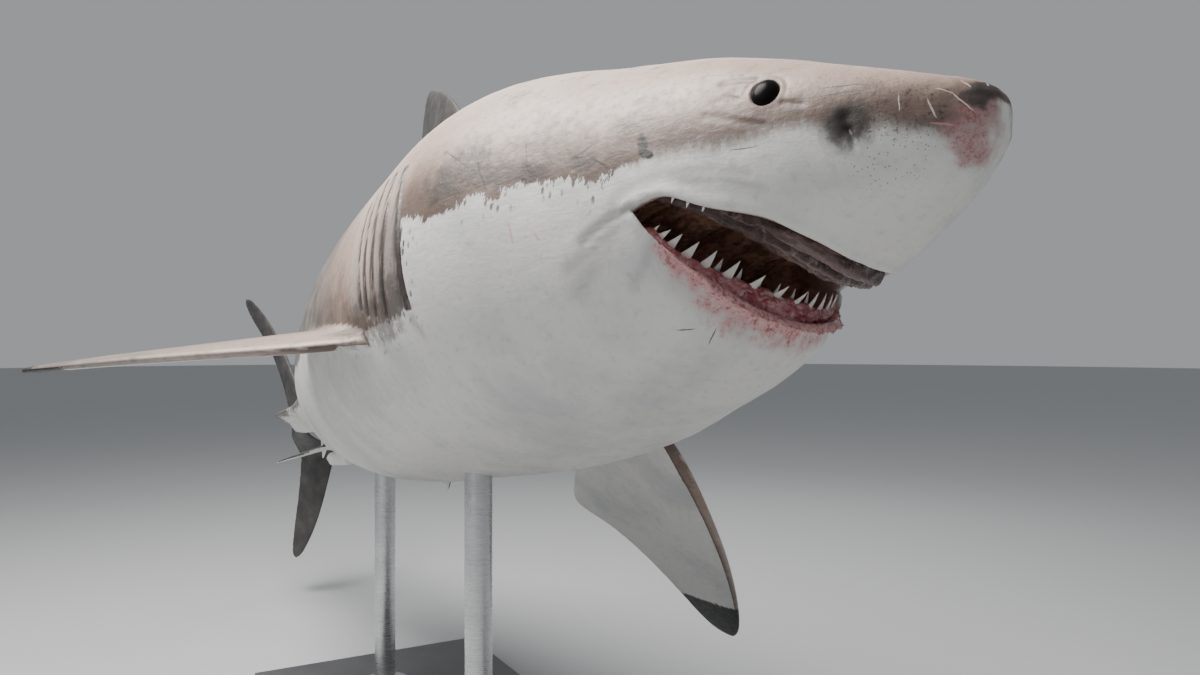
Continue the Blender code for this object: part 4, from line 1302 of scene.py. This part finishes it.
# the lower lip, rubbed pink, with raw and healed flecks
def rubbed(tree, seen, colour):
    fleck = seen["fleck"]
    colour = mixColours(tree, torn(tree, seen, "flush", 0.12, 0.80, 1.6, 0.85), colour, skinColours["pink"])
    raw = times(tree, torn(tree, seen, "flush", 0.30, 0.80, 1.8), fade(tree, fleck, 0.50, 0.60, 0.0, 0.75))
    colour = mixColours(tree, raw, colour, skinColours["raw"])
    healed = times(tree, torn(tree, seen, "flush", 0.60, 0.90, 1.4), fade(tree, fleck, 0.47, 0.36, 0.0, 0.7))
    return mixColours(tree, healed, colour, skinColours["scratch"])


def skinFinish():
    made, tree, shader = newMaterial("shark_skin_finish", Roughness=0.46)
    seen = skinPatterns(tree)
    place = seen["place"]
    soft = fade(tree, seen["along"], 0.50, 0.34)
    edge = backEdge(tree, seen, soft)
    low, high = fade(tree, soft, 0.0, 1.0, -0.0016, -0.0140), fade(tree, soft, 0.0, 1.0, 0.0022, 0.0180)
    colour = painted(tree, bellyColour(tree, seen), edge, low, high, backColour(tree, seen))
    colour = freckled(tree, seen, colour, edge, soft)
    colour = gillSlitsShaded(tree, seen, colour)
    colour = headMarked(tree, seen, colour)
    colour = scratched(tree, seen, colour)
    tip = plus(tree, seen["black"], swing(tree, seen["teeth"], 0.05))
    colour = painted(tree, colour, tip, -0.002, 0.004, skinColours["black"])
    colour = rubbed(tree, seen, linedAndLit(tree, seen, colour))
    feed(tree, shader.inputs["Base Color"], colour)

    wet = fade(tree, seen["inMouth"], 0.004, 0.016)
    gloss = fade(tree, seen["fine"], 0.30, 0.75, 0.40, 0.58)
    feed(tree, shader.inputs["Roughness"], mathStep(tree, "SUBTRACT", gloss, times(tree, wet, 0.20)))
    grain = noiseAt(tree, place, 420.0, 2.0, 0.5)
    wrinkles = noiseAt(tree, stretched(tree, seen["rough"], (30, 24, 85)), 1.0, 4.0, 0.62, 0.6)
    lumps = noiseAt(tree, place, 38.0, 4.0, 0.6)
    bumpFrom(tree, shader, ((lumps, 0.35, 0.004), (wrinkles, 0.24, 0.003), (grain, 0.25, 0.0006),
                            (times(tree, seen["folds"], wet), 0.8, 0.006)))
    return made


def finishSkin(piece):
    markSkin(piece)
    piece.data.materials.clear()
    piece.data.materials.append(skinFinish())
    piece.data.polygons.foreach_set("material_index", np.zeros(len(piece.data.polygons), np.int32))
    writePoints(piece, placed(readPoints(piece)))
    onlySelect(piece)
    bpy.ops.object.shade_smooth_by_angle(angle=math.radians(60))
    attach(piece, "root")
    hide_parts("head", "lower_jaw", "gill_section", "trunk_front", "trunk_rear", "tail_stalk",
                "dorsal_fin", "second_dorsal_fin", "anal_fin", "caudal_fin_upper", "caudal_fin_lower",
                "pectoral_fin_right", "pectoral_fin_left", "pelvic_fin_right", "pelvic_fin_left",
                "clasper_right", "clasper_left")


finishSkin(skinPiece)
print("skin finished")


def makeEye(hand):
    seat, along, around, out = eyeAxes(hand)
    up, side, deep = eyeForm["radii"]

    def shape(row, turn):
        tilt, turn = row * math.pi, np.radians(turn)
        offset = np.outer(deep * np.cos(tilt), out)
        offset += np.outer(up * np.sin(tilt) * np.cos(turn), around)
        offset += np.outer(side * np.sin(tilt) * np.sin(turn), along)
        return seat - out * eyeForm["sunk"] + offset
    name = "eye_ball_" + ("right" if hand < 0 else "left")
    eye = roundedPiece(name, 64, 40, shape)
    straight = readPoints(eye)
    local = (straight - seat) @ np.column_stack((around / up, along / side, out / deep))
    storeAttribute(eye, "ofEye", local, "FLOAT_VECTOR")
    writePoints(eye, placed(straight))
    eye.data.materials.append(eyeFinish())
    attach(eye, "root")
    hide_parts("eye_right" if hand < 0 else "eye_left")


def eyeFinish():
    made = bpy.data.materials.get("eye_finish")
    if made:
        return made
    made, tree, shader = newMaterial("eye_finish", Roughness=0.30, Specular_IOR_Level=0.05)
    place = readAttribute(tree, "ofEye", "Vector")
    ring = vectorStep(tree, "LENGTH", vectorStep(tree, "MULTIPLY", place, (1.0, 1.0, 0.0)))
    fibres = noiseAt(tree, stretched(tree, place, (7, 7, 1)), 1.0, 4.0, 0.6)
    iris = mixColours(tree, fibres, (0.003, 0.0025, 0.003), (0.010, 0.007, 0.006))
    colour = painted(tree, (0.002, 0.002, 0.002), ring, 0.38, 0.50, iris)
    colour = painted(tree, colour, ring, 0.84, 0.95, (0.008, 0.006, 0.006))
    feed(tree, shader.inputs["Base Color"], colour)
    bumpFrom(tree, shader, ((fibres, 0.05, 0.0004),))
    return made


for hand in (-1, 1):
    makeEye(hand)
print("eyes made")


gumForms = {
    # an arch: half width, front and rear as (back, up), and how the back and up run along it
    "upper": {"halfWidth": 0.0560, "front": (0.0630, -0.0345), "rear": (0.1120, -0.0091),
              "bend": (0.95, 0.72), "rise": (0, 0.35, -0.94), "thick": (0.0072, 0.0016),
              "high": (0.0060, 0.0020), "folds": 5, "fold": 0.0013},
    "lower": {"halfWidth": 0.0515, "front": (0.0944, -0.0440), "rear": (0.1085, -0.0235),
              "bend": (0.78, 0.95), "rise": (0, -0.30, 0.95), "thick": (0.0044, 0.0022),
              "high": (0.0052, 0.0024), "folds": 0, "fold": 0.0},
    "archEnd": 84,
    "wrinkle": 0.0011,
}

teethForms = {
    # rows of turns along the arch, heights by turn, and for each row how far out and up from the band's
    # middle its roots sit, and how far its teeth lean forward in the middle and at the sides
    "upper": {"turns": ((-80, -73, -66, -60, -54, -48, -41, -34, -28, -20, -12, -4, 5, 13, 21, 28, 35, 42, 49,
                         55, 61, 67, 74, 80),),
              "heights": ((0, 0.0018), (27, 0.0022), (48, 0.0024), (60, 0.0025), (66, 0.0024), (80, 0.0016)),
              "wide": 0.80, "roots": ((0.0016, 0.0006),), "ahead": ((0.0, 0.0),)},
    "lower": {"turns": ((-78, -70.5, -61.5, -50.5, -39.5, -27.5, -14.5, -1.5, 12, 25, 37, 48.5, 59.5, 69, 77),
                        (-31, -19, -8, 3, 16, 30)),
              "heights": ((0, 0.0082), (28, 0.0080), (40, 0.0070), (50, 0.0064), (61, 0.0052), (70, 0.0036),
                          (78, 0.0020)),
              "wide": 0.80, "roots": ((0.0012, 0.0030), (-0.0026, 0.0034)),
              "ahead": ((2.60, 0.45), (0.60, 0.20))},
    "spareSize": 0.80,                   # a second row's size beside the first's
    "cuts": (0.14, 0.30, 0.46, 0.62, 0.78, 0.90),    # where the plain cone is cut before it is shaped
}


def gumPath(form, turn):
    turn = np.radians(np.asarray(turn, float))
    share = np.clip(1 - np.cos(turn), 1e-9, None)
    line = [first + (last - first) * share ** bend
            for first, last, bend in zip(form["front"], form["rear"], form["bend"])]
    return np.stack((form["halfWidth"] * np.sin(turn), *line), axis=-1)


# along the arch, towards the tips of the teeth, and out of the mouth
def gumAxes(form, turn):
    along = gumPath(form, turn + 0.5) - gumPath(form, turn - 0.5)
    along = along / np.linalg.norm(along, axis=-1, keepdims=True)
    rise = np.array(form["rise"]) / np.linalg.norm(form["rise"])
    rise = rise - along * (along @ rise)[..., None]
    rise = rise / np.linalg.norm(rise, axis=-1, keepdims=True)
    out = np.cross(along, rise)
    facing = out[..., 0] * np.sin(np.radians(turn)) - out[..., 1] * np.cos(np.radians(turn))
    return along, rise, out * np.sign(facing)[..., None]


# half width and half height of the gum band
def fullness(form, turn):
    rear = smoothStep(np.abs(turn) / 70)
    return (first + (last - first) * rear for first, last in (form["thick"], form["high"]))


def makeGum(key, pieceName, node, finish):
    form = gumForms[key]
    crests = []

    def shape(row, turn):
        arch = gumForms["archEnd"] * np.clip((row - 0.5) * 2.02, -1, 1)
        ending = np.sqrt(np.clip(1 - (np.abs(row - 0.5) * 2) ** 30, 0, 1))
        rise, out = gumAxes(form, arch)[1:]
        around = np.radians(turn)
        thick, high = fullness(form, arch)
        x = np.sign(np.cos(around)) * np.abs(np.cos(around)) ** 0.8
        y = np.sin(around)
        middle = gumPath(form, arch)
        points = middle + out * (thick * ending * x)[:, None] + rise * (high * ending * y)[:, None]
        fold = np.sin(x * math.pi * form["folds"] + 0.05 * arch)
        points = points + rise * (form["fold"] * ending * fold)[:, None]
        # where the folds stand up and sink, and darker towards the rear: the amounts of painted highlight and
        # painted shade
        crest = fold * bump(arch, 0, 50)
        crests.append(crest - 0.9 * smoothStep((np.abs(arch) - 22) / 25) if form["fold"] else arch * 0.0)
        wrinkles = np.array([noise.noise(Vector((a * 0.10, math.cos(t) * 1.2, math.sin(t) * 2.2 + len(key))))
                             + 0.7 * noise.noise(Vector((a * 0.30, math.cos(t) * 2.6 + 7, math.sin(t) * 4)))
                             + 0.35 * noise.noise(Vector((a * 0.75, math.cos(t) * 5 + 3, math.sin(t) * 8)))
                             for a, t in zip(arch, around)])
        grow = gumForms["wrinkle"] * wrinkles * ending * (high / form["high"][0])
        outwards = (points - middle) / np.linalg.norm(points - middle + 1e-9, axis=1)[:, None]
        return (points + outwards * grow[:, None]) * sharkLength
    gum = roundedPiece(pieceName, 72, 300, shape)
    storeAttribute(gum, "crest", crests[0])
    storeAttribute(gum, "straight", readPoints(gum), "FLOAT_VECTOR")
    writePoints(gum, placed(readPoints(gum)))
    gum.data.materials.append(finish)
    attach(gum, "root")
    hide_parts(node)


def gumFinish(name, deep, plain, pale, sore):
    made, tree, shader = newMaterial(name, Subsurface_Weight=0.10, Subsurface_Scale=0.01)
    place = readAttribute(tree, "straight", "Vector")
    folds = noiseAt(tree, place, 30.0, 5.0, 0.65, 1.4)
    veins = noiseAt(tree, place, 110.0, 4.0, 0.6, 0.6)
    patches = noiseAt(tree, place, 52.0, 3.0, 0.6, 1.0)
    crest = readAttribute(tree, "crest")
    colour = painted(tree, deep, folds, 0.38, 0.60, plain)
    # pale on the fold crests is painted highlight; dark in the fold valleys and towards the rear of the arch
    # is painted shade
    layers = ((veins, 0.50, 0.72, sore, 0.7), (patches, 0.54, 0.68, pale, 0.75),
              (crest, 0.20, 0.95, pale, 0.8), (crest, -0.20, -0.95, deep, 0.7))
    for value, low, high, over, strength in layers:
        colour = painted(tree, colour, value, low, high, over, strength)
    feed(tree, shader.inputs["Base Color"], colour)
    feed(tree, shader.inputs["Roughness"], fade(tree, veins, 0.3, 0.7, 0.22, 0.42))
    bumpFrom(tree, shader, ((folds, 0.9, 0.006), (veins, 0.5, 0.0015)))
    return made


# one tooth, 1 tall and 1 wide at its root: a flattened cone with a keen edge and a backward tip
def toothBlade():
    bpy.ops.mesh.primitive_cone_add(vertices=20, radius1=0.5, radius2=0.02, depth=1.0, end_fill_type="TRIFAN",
                                    location=(0, 0, 0.5))
    tooth = bpy.context.object
    onlySelect(tooth)
    bpy.ops.object.transform_apply(location=True, rotation=True, scale=True)
    for height in teethForms["cuts"]:
        editMesh(tooth, (bpy.ops.mesh.select_all, {"action": "SELECT"}),
                 (bpy.ops.mesh.bisect, {"plane_co": (0, 0, height), "plane_no": (0, 0, 1)}))
    points = readPoints(tooth)
    height = np.clip(points[:, 2], 0, 1)
    radius = np.maximum(np.hypot(points[:, 0], points[:, 1]), 1e-6)
    outline = 0.5 * ((1 - height) ** 0.94 * 0.90 + 0.10 * np.exp(-height / 0.10)) + 0.006
    keen = np.abs(points[:, 0]) / radius
    points[:, 0] *= outline / np.maximum(0.5 * (1 - height) + 0.02, 1e-3)
    points[:, 1] *= 0.42 * outline / np.maximum(0.5 * (1 - height) + 0.02, 1e-3) * (1 - 0.55 * keen ** 3)
    points[:, 1] += 0.06 * np.sin(height * math.pi) - 0.05 * height ** 2
    writePoints(tooth, points)
    outward(tooth)
    return tooth


def makeTeeth(key, pieceName):
    form, gum = teethForms[key], gumForms[key]
    blade = toothBlade()
    outline = readPoints(blade)
    copies = []
    for row, turns in enumerate(form["turns"]):
        rootOut, rootUp = form["roots"][row]
        aheadFront, aheadSide = form["ahead"][row]
        for i, turn in enumerate(turns):
            shake = noise.noise(Vector((i * 3.7 + 0.4, row * 5.1 + 0.3, len(key) * 1.3)))
            tall = float(np.interp(abs(turn), *zip(*form["heights"]))) * (1 + 0.10 * shake)
            tall *= 1.0 if row == 0 else teethForms["spareSize"]
            along, rise, out = (axis[0] for axis in gumAxes(gum, np.array([turn], float)))
            ahead = aheadSide + (aheadFront - aheadSide) * float(bump(turn, 0, 20))
            axis = rise + np.array((0, -ahead, 0)) + along * 0.30 * shake
            axis = axis / np.linalg.norm(axis)
            face = out - axis * (out @ axis)
            face = face / np.linalg.norm(face)
            wide = form["wide"] * tall
            seat = gumPath(gum, turn) + rise * rootUp + out * rootOut
            place = (outline[:, :1] * np.cross(axis, face) * wide + outline[:, 1:2] * face * wide
                     + (outline[:, 2:] * 1.25 - 0.25) * axis * tall)
            copy = blade.copy()
            copy.data = blade.data.copy()
            bpy.context.collection.objects.link(copy)
            writePoints(copy, placed((place + seat) * sharkLength))
            storeAttribute(copy, "height", np.clip(outline[:, 2], 0, 1))
            copies.append(copy)
    bpy.data.objects.remove(blade, do_unlink=True)
    teeth = joinPieces(copies)
    teeth.name = teeth.data.name = pieceName
    outward(teeth)
    onlySelect(teeth)
    bpy.ops.object.shade_smooth_by_angle(angle=math.radians(50))
    teeth.data.materials.clear()
    teeth.data.materials.append(toothFinish())
    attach(teeth, "root")


def toothFinish():
    made = bpy.data.materials.get("tooth_finish")
    if made:
        return made
    made, tree, shader = newMaterial("tooth_finish", Roughness=0.22, Subsurface_Weight=0.15,
                                     Subsurface_Scale=0.004, Coat_Weight=0.3, Coat_Roughness=0.1)
    height = readAttribute(tree, "height")
    place = tree.nodes.new("ShaderNodeTexCoord").outputs["Object"]
    stain = noiseAt(tree, place, 160.0, 4.0, 0.6)
    colour = painted(tree, (0.560, 0.430, 0.360), height, 0.05, 0.45, (0.860, 0.840, 0.790))
    colour = painted(tree, colour, stain, 0.50, 0.75, (0.640, 0.560, 0.460), 0.4)
    feed(tree, shader.inputs["Base Color"], colour)
    bumpFrom(tree, shader, ((stain, 0.25, 0.0006),))
    return made


# the upper gum in much darker colours than the lower: painted shade inside the mouth
makeGum("upper", "upper_gum", "upper_gum_and_teeth",
        gumFinish("upper_gum_finish", (0.030, 0.015, 0.012), (0.090, 0.050, 0.043), (0.260, 0.185, 0.175),
                  (0.060, 0.026, 0.022)))
makeGum("lower", "lower_gum", "lower_gum_and_teeth",
        gumFinish("lower_gum_finish", (0.360, 0.080, 0.095), (0.640, 0.300, 0.320), (0.800, 0.580, 0.560),
                  (0.380, 0.060, 0.070)))
makeTeeth("upper", "upper_teeth")
makeTeeth("lower", "lower_teeth")
print("gums and teeth made")


standForm = {
    "stations": {"stand_rod_front": 0.335, "stand_rod_rear": 0.560},    # where each rod meets the belly
    "edge": 0.004,                       # rounding of the base's and the collars' edges
    "rod": 0.032,                        # radius
    "collar": (0.075, 0.022, 0.0003),    # radius, height, gap under it
    "bolt": (0.006, 0.004, 0.0008, 0.0015),    # radius, height, rounding, its middle over the collar
    "boltCircle": (0.055, 3),            # radius, number of bolts
}


def makeStand():
    low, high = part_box("stand_base")
    bpy.ops.mesh.primitive_cube_add(size=1.0, location=(low + high) / 2)
    base = bpy.context.object
    base.name = base.data.name = "display_base"
    base.scale = high - low
    bpy.ops.object.transform_apply(location=True, rotation=True, scale=True)
    applyModifier(base, "BEVEL", width=standForm["edge"], segments=4, limit_method="ANGLE")
    bpy.ops.object.shade_smooth_by_angle(angle=math.radians(40))
    base.data.materials.append(baseFinish())
    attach(base, "root")
    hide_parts("stand_base")
    for name, station in standForm["stations"].items():
        makeRod(name, station, high.z)


def makeRod(node, station, floor):
    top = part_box(node)[1].z
    middle = placed(hullPoint(station, 180.0))[0]
    collarRadius, collarHigh, collarGap = standForm["collar"]
    boltRadius, boltHigh, boltEdge, boltSeat = standForm["bolt"]
    circle, bolts = standForm["boltCircle"]
    bpy.ops.mesh.primitive_cylinder_add(vertices=72, radius=standForm["rod"], depth=top - floor,
                                        location=(middle[0], middle[1], (top + floor) / 2))
    rod = bpy.context.object
    bpy.ops.mesh.primitive_cylinder_add(vertices=96, radius=collarRadius, depth=collarHigh,
                                        location=(middle[0], middle[1], floor + collarHigh / 2 + collarGap))
    collar = bpy.context.object
    for piece in (rod, collar):
        onlySelect(piece)
        bpy.ops.object.transform_apply(location=True, rotation=True, scale=True)
    applyModifier(collar, "BEVEL", width=standForm["edge"], segments=4, limit_method="ANGLE")
    piece = joinPieces([rod, collar])
    for i in range(bolts):
        turn = math.radians(90 + 360 / bolts * i)
        bpy.ops.mesh.primitive_cylinder_add(
            vertices=24, radius=boltRadius, depth=boltHigh,
            location=(middle[0] + circle * math.cos(turn), middle[1] + circle * math.sin(turn),
                      floor + collarHigh + boltSeat))
        bolt = bpy.context.object
        onlySelect(bolt)
        bpy.ops.object.transform_apply(location=True, rotation=True, scale=True)
        applyModifier(bolt, "BEVEL", width=boltEdge, segments=3, limit_method="ANGLE")
        piece = joinPieces([piece, bolt])
    piece.name = piece.data.name = node.replace("stand_", "display_")
    onlySelect(piece)
    bpy.ops.object.shade_smooth_by_angle(angle=math.radians(40))
    piece.data.materials.append(steelFinish())
    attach(piece, "root")
    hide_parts(node)


def baseFinish():
    made, tree, shader = newMaterial("base_finish", Coat_Weight=0.15, Coat_Roughness=0.3)
    place = tree.nodes.new("ShaderNodeTexCoord").outputs["Object"]
    speckle = noiseAt(tree, place, 300.0, 3.0, 0.6)
    dust = noiseAt(tree, place, 4.0, 5.0, 0.6)
    colour = painted(tree, (0.045, 0.046, 0.050), dust, 0.35, 0.75, (0.075, 0.076, 0.080))
    feed(tree, shader.inputs["Base Color"], colour)
    feed(tree, shader.inputs["Roughness"], fade(tree, dust, 0.3, 0.7, 0.38, 0.55))
    bumpFrom(tree, shader, ((speckle, 0.25, 0.0004),))
    return made


def steelFinish():
    made = bpy.data.materials.get("steel_finish")
    if made:
        return made
    made, tree, shader = newMaterial("steel_finish", Metallic=1.0)
    place = tree.nodes.new("ShaderNodeTexCoord").outputs["Object"]
    brushed = noiseAt(tree, stretched(tree, place, (6, 6, 500)), 1.0, 3.0, 0.6)
    smear = noiseAt(tree, place, 9.0, 4.0, 0.6)
    colour = painted(tree, (0.52, 0.53, 0.54), smear, 0.3, 0.7, (0.63, 0.63, 0.64))
    feed(tree, shader.inputs["Base Color"], colour)
    feed(tree, shader.inputs["Roughness"], fade(tree, brushed, 0.3, 0.7, 0.22, 0.36))
    bumpFrom(tree, shader, ((brushed, 0.12, 0.0003),))
    return made


makeStand()
print("stand made")


studio = {
    "floor": (0.44, 0.45, 0.46), "floorRadius": 40.0, "sky": (0.84, 0.87, 0.90), "skyStrength": 0.40,
    "aim": (0.0, -0.4, 1.1),             # where the lights point
    # name and size, place, watts, colour
    "lights": ((("key", 3.0), (-1.5, 0.3, 4.7), 470.0, (1.0, 0.97, 0.93)),
               (("fill", 4.0), (-4.5, -2.5, 2.2), 16.0, (0.90, 0.95, 1.0)),
               (("rim", 3.0), (3.5, 2.5, 3.4), 30.0, (1.0, 0.98, 0.96))),
    "camera": ((-0.8522, -2.3165, 1.141), (90.05, 0.0, -28.84), 27.736),    # place, turn, lens in mm
}


def makeStudio():
    bpy.ops.mesh.primitive_circle_add(vertices=96, radius=studio["floorRadius"], fill_type="NGON",
                                      location=(0, 0, solidBox[0].z))
    floor = bpy.context.object
    floor.name = floor.data.name = "studio_floor"
    made, tree, shader = newMaterial("floor_finish", Roughness=0.8)
    place = tree.nodes.new("ShaderNodeTexCoord").outputs["Object"]
    tone = tuple(value * 0.96 for value in studio["floor"])
    colour = mixColours(tree, noiseAt(tree, place, 0.8), studio["floor"], tone)
    feed(tree, shader.inputs["Base Color"], colour)
    floor.data.materials.append(made)
    world = bpy.data.worlds.new("studio_sky")
    bpy.context.scene.world = world
    world.use_nodes = True
    background = world.node_tree.nodes["Background"]
    background.inputs["Color"].default_value = (*studio["sky"], 1.0)
    background.inputs["Strength"].default_value = studio["skyStrength"]
    for (name, size), place, power, colour in studio["lights"]:
        bpy.ops.object.light_add(type="AREA", location=place)
        light = bpy.context.object
        light.name = "light_" + name
        light.data.shape = "DISK"
        light.data.size = size
        light.data.energy = power
        light.data.color = colour
        aim = Vector(studio["aim"]) - Vector(place)
        light.rotation_euler = aim.to_track_quat("-Z", "Y").to_euler()
    place, turn, lens = studio["camera"]
    bpy.ops.object.camera_add(location=place, rotation=[math.radians(angle) for angle in turn])
    camera = bpy.context.object
    camera.data.lens = lens
    camera.data.sensor_width = 36.0
    camera.data.clip_start = 0.01
    camera.data.dof.use_dof = False
    bpy.context.scene.camera = camera


makeStudio()
print("studio ready")
